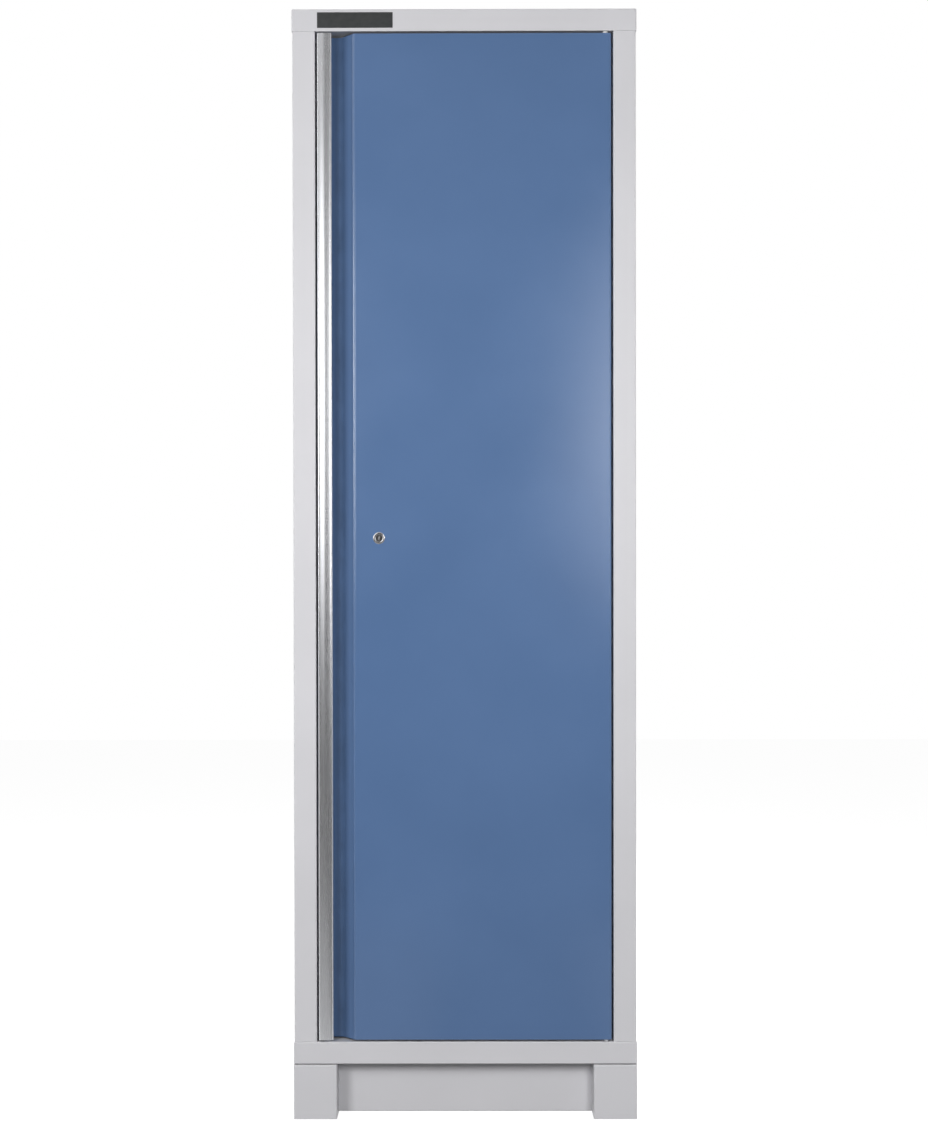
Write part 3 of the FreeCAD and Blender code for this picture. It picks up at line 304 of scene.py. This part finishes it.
# %% [markdown]
# ## Effects that several finishes share
#
# Sprayed powder melts into a skin like fine orange peel, bent edges are paler, partly because paint
# draws thin over them and partly as a painted highlight, dust lies on what faces up, what faces
# down gets painted shade, and drawn metal has hair lines. Each of these is used by more than one
# finish, so each is a node group with its own dials. A group only makes masks, values and normals.
# The shader itself stays in each material, where its plain numbers can be read.


# %% Helpers for groups
def new_group(name, dials, results):
    group = bpy.data.node_groups.new(name, "ShaderNodeTree")
    for label, value in dials.items():
        dial = group.interface.new_socket(label, in_out="INPUT", socket_type="NodeSocketFloat")
        dial.default_value = value
    for label, kind in results.items():
        group.interface.new_socket(label, in_out="OUTPUT", socket_type=kind)
    dials_in, results_out = group.nodes.new("NodeGroupInput"), group.nodes.new("NodeGroupOutput")
    return group, dials_in.outputs, results_out.inputs


def stretch(tree, value, low, high, new_low, new_high):
    """Move a value from one range to another, and keep it inside the new one."""
    sockets = {0: value, 1: low, 2: high, 3: new_low, 4: new_high}
    return put(tree, "ShaderNodeMapRange", sockets).outputs["Result"]


def grain(tree, where, scale, detail=2.0):
    """Noise with a number of bumps to the metre."""
    sockets = {"Vector": where, "Scale": scale, "Detail": detail}
    return put(tree, "ShaderNodeTexNoise", sockets).outputs["Fac"]


def full_range(tree, noise, low=0.3, high=0.7):
    """Noise keeps near its middle. This draws it out from 0 to 1."""
    return stretch(tree, noise, low, high, 0.0, 1.0)


VALUE = "NodeSocketFloat"
NORMAL = "NodeSocketVector"
print("helpers for groups ready")

# %% [markdown]
# **Sprayed skin.** Two noises of different size make the orange peel, and a third, as wide as a
# hand, makes the faint clouds that a spray gun leaves. A fourth, about as wide, is the slight
# waviness of thin sheet, which shows only where light glances off it.

# %% Sprayed skin
FINE_TO_PEEL, FINE_SHARE = 3.1, 0.35
WAVES_PER_METRE = 4.5

sprayed, dial, result = new_group(
    "sprayed_skin",
    {"Peel per metre": 520.0, "Clouds per metre": 5.0},
    {"Peel": VALUE, "Cloud": VALUE, "Sheet": VALUE, "Speck": VALUE},
)
where = put(sprayed, "ShaderNodeTexCoord").outputs["Object"]
peel = grain(sprayed, where, dial["Peel per metre"], 1.5)
fine_scale = maths(sprayed, "MULTIPLY", dial["Peel per metre"], FINE_TO_PEEL)
fine = grain(sprayed, where, fine_scale, 1.0)
skin = maths(sprayed, "MULTIPLY_ADD", fine, FINE_SHARE, peel)
cloud = grain(sprayed, where, dial["Clouds per metre"], 5.0)
wave = grain(sprayed, where, WAVES_PER_METRE, 0.0)
sprayed.links.new(skin, result["Peel"])
sprayed.links.new(full_range(sprayed, cloud), result["Cloud"])
sprayed.links.new(wave, result["Sheet"])
sprayed.links.new(full_range(sprayed, fine, 0.35, 0.65), result["Speck"])
print(sprayed.name, len(sprayed.nodes), "nodes")

# %% [markdown]
# ** Soft edges.** A bevel node asks what the normal would be if edges were rounded off. Where that
# normal leaves the true one there is an edge, so the same node gives both a softened normal and a
# mask for paler edges, which on the coats are partly thin paint and partly a painted highlight.

# %% Soft edges
SURELY_AN_EDGE = 0.86

soft_edges, dial, result = new_group(
    "soft_edges", {"Round": 0.0008}, {"Edge": VALUE, "Normal": NORMAL})
bevel = put(soft_edges, "ShaderNodeBevel", {"Radius": dial["Round"]}, samples=4)
rounded = bevel.outputs["Normal"]
true_normal = put(soft_edges, "ShaderNodeNewGeometry").outputs["Normal"]
likeness = put(soft_edges, "ShaderNodeVectorMath", {0: rounded, 1: true_normal},
               operation="DOT_PRODUCT").outputs["Value"]
edge = stretch(soft_edges, likeness, 1.0, SURELY_AN_EDGE, 0.0, 1.0)
soft_edges.links.new(edge, result["Edge"])
soft_edges.links.new(rounded, result["Normal"])
print(soft_edges.name, len(soft_edges.nodes), "nodes")

# %% [markdown]
# ** Lying dust and shade under.** What faces up gathers a thin, patchy film of dust, and what faces
# down gets painted shade, darker as it turns to the floor. The upward part of the normal is the
# mask for both.

# %% Lying dust and painted shade under
PATCHES_PER_METRE = 14.0

dust_and_shade_under, dial, result = new_group(
    "lying_dust_and_shade_under", {"Amount": 0.3}, {"Dust": VALUE, "Shade under": VALUE})
normal = put(dust_and_shade_under, "ShaderNodeNewGeometry").outputs["Normal"]
upward = put(dust_and_shade_under, "ShaderNodeSeparateXYZ", {0: normal}).outputs["Z"]
top = stretch(dust_and_shade_under, upward, 0.7, 1.0, 0.0, 1.0)
# Painted shade: faces that turn down are darker.
painted_under_shade = stretch(dust_and_shade_under, upward, -0.6, -0.95, 0.0, 1.0)
where = put(dust_and_shade_under, "ShaderNodeTexCoord").outputs["Object"]
patch = stretch(dust_and_shade_under, grain(dust_and_shade_under, where, PATCHES_PER_METRE, 6.0), 0.35, 0.75, 0.2, 1.0)
film = maths(dust_and_shade_under, "MULTIPLY", maths(dust_and_shade_under, "MULTIPLY", top, patch), dial["Amount"])
dust_and_shade_under.links.new(film, result["Dust"])
dust_and_shade_under.links.new(painted_under_shade, result["Shade under"])
print(dust_and_shade_under.name, len(dust_and_shade_under.nodes), "nodes")

# %% [markdown]
# **Drawn lines.** Metal that is drawn, rolled or brushed has hair lines along its length. They are
# a noise that is squeezed across the piece and pulled out along Z.

# %% Drawn lines
HAIR_PULL, CLOUD_PULL = 0.0012, 0.12
STREAKS_PER_METRE = 60.0

drawn, dial, result = new_group(
    "drawn_lines", {"Lines per metre": 2600.0}, {"Line": VALUE, "Cloud": VALUE})
where = put(drawn, "ShaderNodeTexCoord").outputs["Object"]
pulled = put(drawn, "ShaderNodeMapping", {"Vector": where, "Scale": (1.0, 1.0, HAIR_PULL)})
hair = grain(drawn, pulled.outputs[0], dial["Lines per metre"], 3.0)
pulled = put(drawn, "ShaderNodeMapping", {"Vector": where, "Scale": (1.0, 1.0, CLOUD_PULL)})
cloud = grain(drawn, pulled.outputs[0], STREAKS_PER_METRE, 3.0)
drawn.links.new(full_range(drawn, hair), result["Line"])
drawn.links.new(full_range(drawn, cloud), result["Cloud"])
print(drawn.name, len(drawn.nodes), "nodes")

# %% [markdown]
# **Moulded grain.** Plastic, rubber and pressed powder copy the fine texture of their mould.

# %% Moulded grain
STAINS_PER_METRE = 90.0

moulded, dial, result = new_group(
    "moulded_grain", {"Grain per metre": 2500.0}, {"Grain": VALUE, "Cloud": VALUE})
where = put(moulded, "ShaderNodeTexCoord").outputs["Object"]
pores = grain(moulded, where, dial["Grain per metre"], 2.0)
cloud = grain(moulded, where, STAINS_PER_METRE, 3.0)
moulded.links.new(full_range(moulded, pores), result["Grain"])
moulded.links.new(full_range(moulded, cloud), result["Cloud"])
print(moulded.name, len(moulded.nodes), "nodes")

# %% [markdown]
# ## Powder coat
#
# The carcass is light grey and the door a greyed blue. Both are powder coats, but the door's is
# smoother, which is why only the door shows a bounded sheen. A car paint with a clear coat would be
# too glossy: here one dielectric layer, a few percent of cloud in the colour, orange peel as a bump
# and a thinner, paler skin along the edges, partly a painted highlight, are enough. Faces that turn
# down get painted shade.


# %% Helpers for finishes
def start_finish(name):
    finish, tree = blank_paint(name)
    shader = put(tree, "ShaderNodeBsdfPrincipled")
    put(tree, "ShaderNodeOutputMaterial", {"Surface": shader.outputs[0]})
    return finish, tree, shader.inputs


def use(tree, group, **dials):
    """Place a group. A dial's name has spaces where the keyword has underscores."""
    node = put(tree, "ShaderNodeGroup", node_tree=group)
    for label, value in dials.items():
        node.inputs[label.replace("_", " ")].default_value = value
    return node.outputs


def tint(tree, share, first, second):
    """A colour between two colours."""
    node = put(tree, "ShaderNodeMix", {0: share, 6: first, 7: second}, data_type="RGBA")
    return node.outputs[2]


def shade(colour, times):
    return rgba(*[min(1.0, times * part) for part in colour[:3]])


def bump(tree, depth, height, normal):
    sockets = {"Strength": 1.0, "Distance": depth, "Height": height, "Normal": normal}
    return put(tree, "ShaderNodeBump", sockets).outputs[0]


print("helpers for finishes ready")

# %% [markdown]
# Hands change the door's coat at the finger recess: they dull it inside, and they polish the fold
# beside it from hip height up, so that the fold carries a bright line. The recess's floor gets
# painted shade, where the strip's shadow falls. Each of the three is a mask over the place on the
# door.

# %% Rubbed recess and painted shade
STRIP_RIGHT, RECESS_RIGHT = -0.2378, -0.197
RECESS_RIM, RECESS_FLOOR = -0.2285, -0.206
RIGHT_FADE, DULL_DEPTH, FOLD_DEPTH = 0.002, 0.010, 0.004
RECESS_SHADE_START, RECESS_SHADE_FULL, RECESS_SHADE_WIDTH = 0.0140, 0.0008, 0.010
SHADE_PATCHES_PER_METRE, RECESS_SHADE_SHARE = 22.0, 0.9
HIP, ELBOW = 0.80, 1.10


def recess_rub_and_shade(tree):
    """Masks for the dulled part, the painted shade on the recess's floor and the polished fold."""
    where = put(tree, "ShaderNodeTexCoord").outputs["Object"]
    place = put(tree, "ShaderNodeSeparateXYZ", {0: where}).outputs
    beside = stretch(tree, place["X"], RECESS_RIGHT, RECESS_RIGHT + RIGHT_FADE, 1.0, 0.0)
    inside = stretch(tree, place["Y"], RECESS_RIM, RECESS_RIM + DULL_DEPTH, 0.0, 1.0)
    dulled = maths(tree, "MULTIPLY", inside, beside)
    # Painted shade: the recess's floor darkens where the strip's shadow falls on it.
    start, full = RECESS_FLOOR - RECESS_SHADE_START, RECESS_FLOOR - RECESS_SHADE_FULL
    bottom = stretch(tree, place["Y"], start, full, 0.0, 1.0)
    hollow = stretch(tree, place["X"], STRIP_RIGHT, STRIP_RIGHT + RECESS_SHADE_WIDTH, 0.15, 1.0)
    shade_patch = stretch(tree, grain(tree, where, SHADE_PATCHES_PER_METRE, 4.0), 0.3, 0.7, 0.75, 1.0)
    recess_shade = maths(tree, "MULTIPLY", maths(tree, "MULTIPLY", bottom, hollow),
                  maths(tree, "MULTIPLY", beside, shade_patch))
    fold = stretch(tree, place["Y"], RECESS_RIM, RECESS_RIM + FOLD_DEPTH, 1.0, 0.0)
    reach = stretch(tree, place["Z"], HIP, ELBOW, 0.0, 1.0)
    polished = maths(tree, "MULTIPLY", maths(tree, "MULTIPLY", beside, fold), reach)
    return dulled, maths(tree, "MULTIPLY", recess_shade, RECESS_SHADE_SHARE), polished


print("recess", round((RECESS_FLOOR - RECESS_RIM) * 1000, 1), "mm deep behind its rim")

# %% Coat
THIN_AND_HIGHLIGHT_SHARE, UNDER_SHADE_SHARE = 0.55, 0.75
UNDER_SHADE, RECESS_SHADE_TIMES = 0.40, 0.44
DUST_ON_COAT, DUST_DULLS = rgba(0.62, 0.60, 0.56), 0.3
HANDS_DULL, POLISH_ROUGHNESS = 0.55, 0.12
WAVE_DEPTH = 0.00035


def powder_coat(name, pale, deep, thin_and_highlit, smooth, rough, peel_depth, dust, rub_and_shade=None):
    finish, tree, shader = start_finish(name)
    skin = use(tree, sprayed)
    edges = use(tree, soft_edges)
    film = use(tree, dust_and_shade_under, Amount=dust)
    # Paler edges: partly thin paint, partly a painted highlight.
    worn_and_highlit = maths(tree, "MULTIPLY", edges["Edge"], skin["Speck"])
    colour = tint(tree, skin["Cloud"], deep, pale)
    colour = tint(tree, maths(tree, "MULTIPLY", worn_and_highlit, THIN_AND_HIGHLIGHT_SHARE), colour, thin_and_highlit)
    colour = tint(tree, film["Dust"], colour, DUST_ON_COAT)
    # Painted shade under faces that turn down, such as the top rail's underside.
    painted_under_shade = maths(tree, "MULTIPLY", film["Shade under"], UNDER_SHADE_SHARE)
    colour = tint(tree, painted_under_shade, colour, shade(deep, UNDER_SHADE))
    sheen = stretch(tree, skin["Cloud"], 0.0, 1.0, smooth, rough)
    sheen = maths(tree, "MULTIPLY_ADD", film["Dust"], DUST_DULLS, sheen)
    if rub_and_shade:
        dulled, recess_shade, polished = rub_and_shade(tree)
        # Painted shade on the recess's floor.
        colour = tint(tree, recess_shade, colour, shade(deep, RECESS_SHADE_TIMES))
        sheen = maths(tree, "MULTIPLY_ADD", dulled, HANDS_DULL, sheen)
        tree.links.new(polished, shader["Coat Weight"])
        shader["Coat Roughness"].default_value = POLISH_ROUGHNESS
    tree.links.new(colour, shader["Base Color"])
    tree.links.new(sheen, shader["Roughness"])
    wavy = bump(tree, WAVE_DEPTH, skin["Sheet"], edges["Normal"])
    tree.links.new(bump(tree, peel_depth, skin["Peel"], wavy), shader["Normal"])
    return finish


print("coat diagram ready")

# %% Two coats
finishes = {
    "grey_coat": powder_coat(
        "light_grey_coat", pale=rgba(0.662, 0.658, 0.684), deep=rgba(0.632, 0.628, 0.653),
        thin_and_highlit=rgba(0.74, 0.74, 0.75), smooth=0.34, rough=0.40, peel_depth=0.000035, dust=0.25),
    "blue_coat": powder_coat(
        "grey_blue_coat", pale=rgba(0.098, 0.177, 0.347), deep=rgba(0.090, 0.165, 0.326),
        thin_and_highlit=rgba(0.19, 0.27, 0.42), smooth=0.15, rough=0.20, peel_depth=0.000022, dust=0.15,
        rub_and_shade=recess_rub_and_shade),
}
print("coats:", [finish.name for finish in finishes.values()])

# %% [markdown]
# ## Bright metal
#
# The grip strip is bright stainless with faint lines along its length. The lock is nickel plated,
# and bolts, rivets, clips, rods and pins are zinc plated, which is duller and slightly blue. All
# three are the same diagram: a metal whose colour and gloss follow the hair lines and a cloud.


# %% Metals
def bright_metal(name, pale, deep, smooth, rough, lines, line_depth, edge_round):
    finish, tree, shader = start_finish(name)
    shader["Metallic"].default_value = 1.0
    hair = use(tree, drawn, Lines_per_metre=lines)
    edges = use(tree, soft_edges, Round=edge_round)
    half_cloud = maths(tree, "MULTIPLY", hair["Cloud"], 0.5)
    streak = maths(tree, "MULTIPLY_ADD", hair["Line"], 0.5, half_cloud)
    colour = tint(tree, streak, deep, pale)
    tree.links.new(tint(tree, edges["Edge"], colour, pale), shader["Base Color"])
    tree.links.new(stretch(tree, streak, 0.0, 1.0, rough, smooth), shader["Roughness"])
    tree.links.new(bump(tree, line_depth, hair["Line"], edges["Normal"]), shader["Normal"])
    return finish


metals = {
    "stainless": bright_metal(
        "bright_stainless", pale=rgba(0.715, 0.72, 0.745), deep=rgba(0.64, 0.645, 0.67),
        smooth=0.25, rough=0.29, lines=2600.0, line_depth=0.0000004, edge_round=0.0002),
    "chrome": bright_metal(
        "nickel_plate", pale=rgba(0.66, 0.66, 0.68), deep=rgba(0.56, 0.56, 0.58),
        smooth=0.10, rough=0.18, lines=900.0, line_depth=0.000001, edge_round=0.0003),
    "zinc": bright_metal(
        "zinc_plate", pale=rgba(0.66, 0.67, 0.70), deep=rgba(0.47, 0.48, 0.51),
        smooth=0.24, rough=0.42, lines=420.0, line_depth=0.000006, edge_round=0.0004),
}
finishes.update(metals)
print("metals:", list(metals))

# %% [markdown]
# ## Plastic, rubber and magnet
#
# Small pieces, mostly inside: natural nylon bushes and rod guides, black rubber stop pads, the
# cases of the magnetic catches and the dark magnets in them. The bare plate on the top rail is a
# dark satin plastic. One diagram with different numbers serves them all.

# %% Moulding
RIM_SHARE, RIM_SHADE = 0.35, 1.6
RIM_ROUND = 0.0005
DUST_ON_PLASTIC, PLASTIC_DUST = rgba(0.55, 0.53, 0.50), 0.1


def moulding(name, pale, deep, smooth, rough, pores, pore_depth):
    finish, tree, shader = start_finish(name)
    mould = use(tree, moulded, Grain_per_metre=pores)
    edges = use(tree, soft_edges, Round=RIM_ROUND)
    film = use(tree, dust_and_shade_under, Amount=PLASTIC_DUST)
    rim = maths(tree, "MULTIPLY", edges["Edge"], RIM_SHARE)
    colour = tint(tree, mould["Cloud"], deep, pale)
    colour = tint(tree, rim, colour, shade(pale, RIM_SHADE))
    colour = tint(tree, film["Dust"], colour, DUST_ON_PLASTIC)
    tree.links.new(colour, shader["Base Color"])
    tree.links.new(stretch(tree, mould["Grain"], 0.0, 1.0, smooth, rough), shader["Roughness"])
    tree.links.new(bump(tree, pore_depth, mould["Grain"], edges["Normal"]), shader["Normal"])
    return finish


print("moulding diagram ready")

# %% Moulded finishes
finishes["nylon"] = moulding(
    "natural_nylon", pale=rgba(0.86, 0.86, 0.84), deep=rgba(0.80, 0.80, 0.77),
    smooth=0.38, rough=0.52, pores=1800.0, pore_depth=0.00001)
finishes["rubber"] = moulding(
    "black_rubber", pale=rgba(0.022, 0.022, 0.023), deep=rgba(0.014, 0.014, 0.015),
    smooth=0.62, rough=0.85, pores=2600.0, pore_depth=0.00004)
finishes["catch_case"] = moulding(
    "black_case", pale=rgba(0.030, 0.030, 0.033), deep=rgba(0.022, 0.022, 0.024),
    smooth=0.40, rough=0.58, pores=2200.0, pore_depth=0.00002)
finishes["magnet"] = moulding(
    "dark_magnet", pale=rgba(0.065, 0.063, 0.062), deep=rgba(0.040, 0.039, 0.040),
    smooth=0.45, rough=0.7, pores=3200.0, pore_depth=0.00002)
finishes["badge"] = moulding(
    "dark_plate", pale=rgba(0.040, 0.042, 0.042), deep=rgba(0.028, 0.030, 0.031),
    smooth=0.30, rough=0.42, pores=3000.0, pore_depth=0.000008)
print("finishes in all:", len(finishes))

# %% [markdown]
# ## Paint the frame
#
# Each solid already names the slot that its finish belongs to, so one loop paints them all. Nothing
# is moved and no mesh is changed.

# %% Paint
for name, solid in solids.items():
    solid.data.materials.clear()
    solid.data.materials.append(finishes[slot_of[name]])
print("painted", len(solids), "solids")

# %% [markdown]
# ## A lathe for the small round pieces
#
# The collar of the lock, a weld mark and a screw head are all turned shapes. Blender's Screw
# modifier could spin a profile, but a lathe of our own can also bend each ring as it goes, which a
# thread or a six-sided socket needs. A profile is a list of points: radius, height along the axis
# and, where the ring isn't round, a function that gives its radius at each turn.

# %% Lathe
MM = 0.001


def spin(shell, middle, axis, profile, steps, closed=False):
    """Add a turned shape to a bmesh. Lengths of the profile are in millimetres."""
    along = Vector(axis)
    side = along.orthogonal().normalized()
    over = along.cross(side)
    rings = []
    for radius, height, *form in profile:
        hub = Vector(middle) + along * height * MM
        if radius == 0:
            rings.append([shell.verts.new(hub)])
            continue
        ring = []
        for step in range(steps):
            turn = math.tau * step / steps
            reach = radius * (form[0](turn) if form else 1.0) * MM
            spoke = side * math.cos(turn) + over * math.sin(turn)
            ring.append(shell.verts.new(hub + spoke * reach))
        rings.append(ring)
    pairs = list(zip(rings, rings[1:])) + ([(rings[-1], rings[0])] if closed else [])
    for first, second in pairs:
        for step in range(steps):
            corners = [ring[n % len(ring)] for ring, n in
                       ((first, step), (first, step + 1), (second, step + 1), (second, step))]
            shell.faces.new(list(dict.fromkeys(corners)))


print("lathe ready")


# %% From shape to piece
def finished(name, shell, body, slot, sharp=35.0):
    """Turn a bmesh into a piece with smooth faces, a finish, and a body to ride on."""
    bmesh.ops.recalc_face_normals(shell, faces=shell.faces)
    mesh = bpy.data.meshes.new(name)
    shell.to_mesh(mesh)
    shell.free()
    mesh.shade_smooth()
    mesh.set_sharp_from_angle(angle=math.radians(sharp))
    piece = bpy.data.objects.new(name, mesh)
    bpy.context.scene.collection.objects.link(piece)
    mesh.materials.append(finishes[slot])
    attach(piece, body)
    print(name, len(mesh.polygons), "faces, rides on", body)
    return piece


print("ready to finish pieces")

# %% [markdown]
# ## The lock's collar
#
# The collar that shows on the door is a plated casting with a flat face and a full round rim, which
# shows the softboxes as two bright crescents. Behind the sheet it goes on as a threaded barrel for
# the nut. The solid's barrel is plain and its rim is smaller, so a turned piece stands for it: one
# closed profile, with a fine thread whose radius grows and falls with the turn, so that it winds
# like a real one.

# %% Thread
THREAD_PITCH, THREAD_DEPTH = 1.0, 0.045
BARREL_RADIUS, THREAD_START = 9.0, -1.0
RINGS, RING_STEP, FADE_RINGS = 77, 0.25, 4


def thread(height, fade):
    def form(turn):
        phase = (height / THREAD_PITCH + turn / math.tau) % 1.0
        return 1.0 + THREAD_DEPTH * fade * (1.0 - abs(2.0 * phase - 1.0))
    return form


collar_thread = []
for ring in range(RINGS):
    height = THREAD_START - RING_STEP * ring
    fade = min(1.0, ring / FADE_RINGS, (RINGS - 1 - ring) / FADE_RINGS)
    collar_thread.append((BARREL_RADIUS, height, thread(height, fade)))
print("thread of", len(collar_thread), "rings, to", height, "mm")

# %% Lock collar
LOCK_X, LOCK_Z = -0.1542, 1.0496
COLLAR_STEPS = 72
collar_bore = [(6.6, -21.0), (6.6, 2.3), (6.7, 2.6), (6.95, 2.82), (7.3, 2.9)]
collar_face = [(8.2, 2.93), (9.1, 2.95), (9.6, 2.9)]
collar_rim = [(10.1, 2.7), (10.5, 2.35), (10.8, 1.85), (10.95, 1.3), (11.0, 0.7), (11.0, 0.0)]
collar_neck = [(9.4, 0.0), (9.0, -0.5)]
collar_back = [(8.8, -20.4), (8.4, -21.0)]
profile = collar_bore + collar_face + collar_rim + collar_neck + collar_thread + collar_back

shell = bmesh.new()
spin(shell, (LOCK_X, FRONT_FACE, LOCK_Z), (0, -1, 0), profile, COLLAR_STEPS, closed=True)
lock_collar = finished("lock_collar", shell, "door", "chrome")
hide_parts("lock_housing")

# %% [markdown]
# ## The shutter in the keyway
#
# A sprung leaf closes the keyway against dust. It is a narrow strip, bowed a little to the front,
# and it turns with the plug. A grid that is bowed and then given a back is enough.

# %% Leaf of the shutter
PLUG_FACE = -0.2314
LEAF_HALF_WIDTH, LEAF_HALF_HEIGHT = 0.00078, 0.0040
LEAF_SINK, LEAF_BOW, LEAF_SHEET = 0.0009, 0.0010, 0.0003
SIDE_BOW = 0.3
ROWS, COLUMNS = 12, 4
STRIDE = COLUMNS + 1

shell = bmesh.new()
layers = []
for behind in (0.0, LEAF_SHEET):
    layer = []
    for row in range(ROWS + 1):
        up = 2 * row / ROWS - 1.0
        for column in range(STRIDE):
            across = 2 * column / COLUMNS - 1.0
            bow = LEAF_SINK + LEAF_BOW * up * up + SIDE_BOW * LEAF_BOW * across * across
            layer.append(shell.verts.new((LOCK_X + across * LEAF_HALF_WIDTH,
                                          PLUG_FACE + bow + behind,
                                          LOCK_Z + up * LEAF_HALF_HEIGHT)))
    layers.append(layer)
    for row in range(ROWS):
        for column in range(COLUMNS):
            corner = row * STRIDE + column
            around = (corner, corner + 1, corner + STRIDE + 1, corner + STRIDE)
            shell.faces.new([layer[n] for n in around])
print("leaf of", len(layers), "layers with", len(layer), "points each")

# %% Key shutter
low_edge = list(range(STRIDE))
right_edge = [row * STRIDE + COLUMNS for row in range(1, ROWS + 1)]
high_edge = [ROWS * STRIDE + column for column in range(COLUMNS - 1, -1, -1)]
left_edge = [row * STRIDE for row in range(ROWS - 1, 0, -1)]
rim = low_edge + right_edge + high_edge + left_edge
for here, there in zip(rim, rim[1:] + rim[:1]):
    shell.faces.new((layers[0][here], layers[0][there], layers[1][there], layers[1][here]))
finished("key_shutter", shell, "lock_core", "chrome")

# %% [markdown]
# ## Weld marks
#
# The channel behind the door's front and the slotted uprights on the side walls are spot welded.
# Each weld leaves a shallow crater with a raised rim, which the paint covers. A bump could fake it,
# but turned shapes a few tenths of a millimetre high catch the light from every side, and they are
# real geometry.

# %% Weld mark
CRATER = [(0, 0.10), (0.9, 0.08), (1.7, 0.10)]
CRATER_RIM = [(2.2, 0.26), (2.6, 0.30), (3.0, 0.18), (3.3, 0.0)]
WELD = CRATER + CRATER_RIM + [(3.3, -0.1), (0, -0.1)]
WELD_STEPS = 20


def weld_row(shell, start, end, number, axis):
    for n in range(number):
        place = Vector(start).lerp(Vector(end), n / (number - 1))
        spin(shell, place, axis, WELD, WELD_STEPS)


print("weld mark", 2 * WELD[-2][0], "mm wide")

# %% Welds of the channel
CHANNEL_MIDDLE, CHANNEL_REACH, CHANNEL_WING = 0.0652, 0.0345, -0.228
CHANNEL_WELDS, FROM_END = 15, 0.03
channel_low, channel_high = (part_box("door_stiffener")[end][2] for end in (0, 1))

shell = bmesh.new()
for hand in (-1, 1):
    x = CHANNEL_MIDDLE + hand * CHANNEL_REACH
    low, high = ((x, CHANNEL_WING, z) for z in (channel_low + FROM_END, channel_high - FROM_END))
    weld_row(shell, low, high, CHANNEL_WELDS, (0, 1, 0))
finished("channel_welds", shell, "door", "blue_coat")

# %% Welds of the uprights
UPRIGHT_WING, WING_REACH = 0.3064, 0.0192
FRONT_UPRIGHT, REAR_UPRIGHT = -0.150, 0.185
LOWEST_WELD, HIGHEST_WELD, UPRIGHT_WELDS = 0.20, 1.90, 9

shell = bmesh.new()
for hand in (-1, 1):
    x = hand * UPRIGHT_WING
    for depth in (FRONT_UPRIGHT, REAR_UPRIGHT):
        for edge in (-1, 1):
            y = depth + edge * WING_REACH
            low, high = ((x, y, z) for z in (LOWEST_WELD, HIGHEST_WELD))
            weld_row(shell, low, high, UPRIGHT_WELDS, (-hand, 0, 0))
finished("upright_welds", shell, "cabinet", "grey_coat")

# %% [markdown]
# ## Screws of the catches
#
# Each magnetic catch is held by two small sunk screws. The socket is six-sided: its ring has the
# radius of a hexagon at every turn.

# %% Catch screws
CATCH_X, CATCH_FACE = -0.2574, -0.1997
NEAR_SCREW, FAR_SCREW = 0.0025, 0.0455
SCREW_STEPS = 24


def hexagon(turn):
    return math.cos(math.pi / 6) / math.cos(turn % (math.pi / 3) - math.pi / 6)


SOCKET = [(0, -0.7), (0.9, -0.7, hexagon), (0.95, 0.02, hexagon)]
SCREW = SOCKET + [(1.5, 0.08), (1.8, 0.02), (1.9, -0.1), (1.9, -1.1), (0, -1.1)]
catch_low, catch_high = (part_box("catch_bodies")[end][2] for end in (0, 1))

shell = bmesh.new()
for z in (catch_low + NEAR_SCREW, catch_low + FAR_SCREW,
          catch_high - FAR_SCREW, catch_high - NEAR_SCREW):
    spin(shell, (CATCH_X, CATCH_FACE, z), (0, -1, 0), SCREW, SCREW_STEPS)
finished("catch_screws", shell, "cabinet", "zinc")
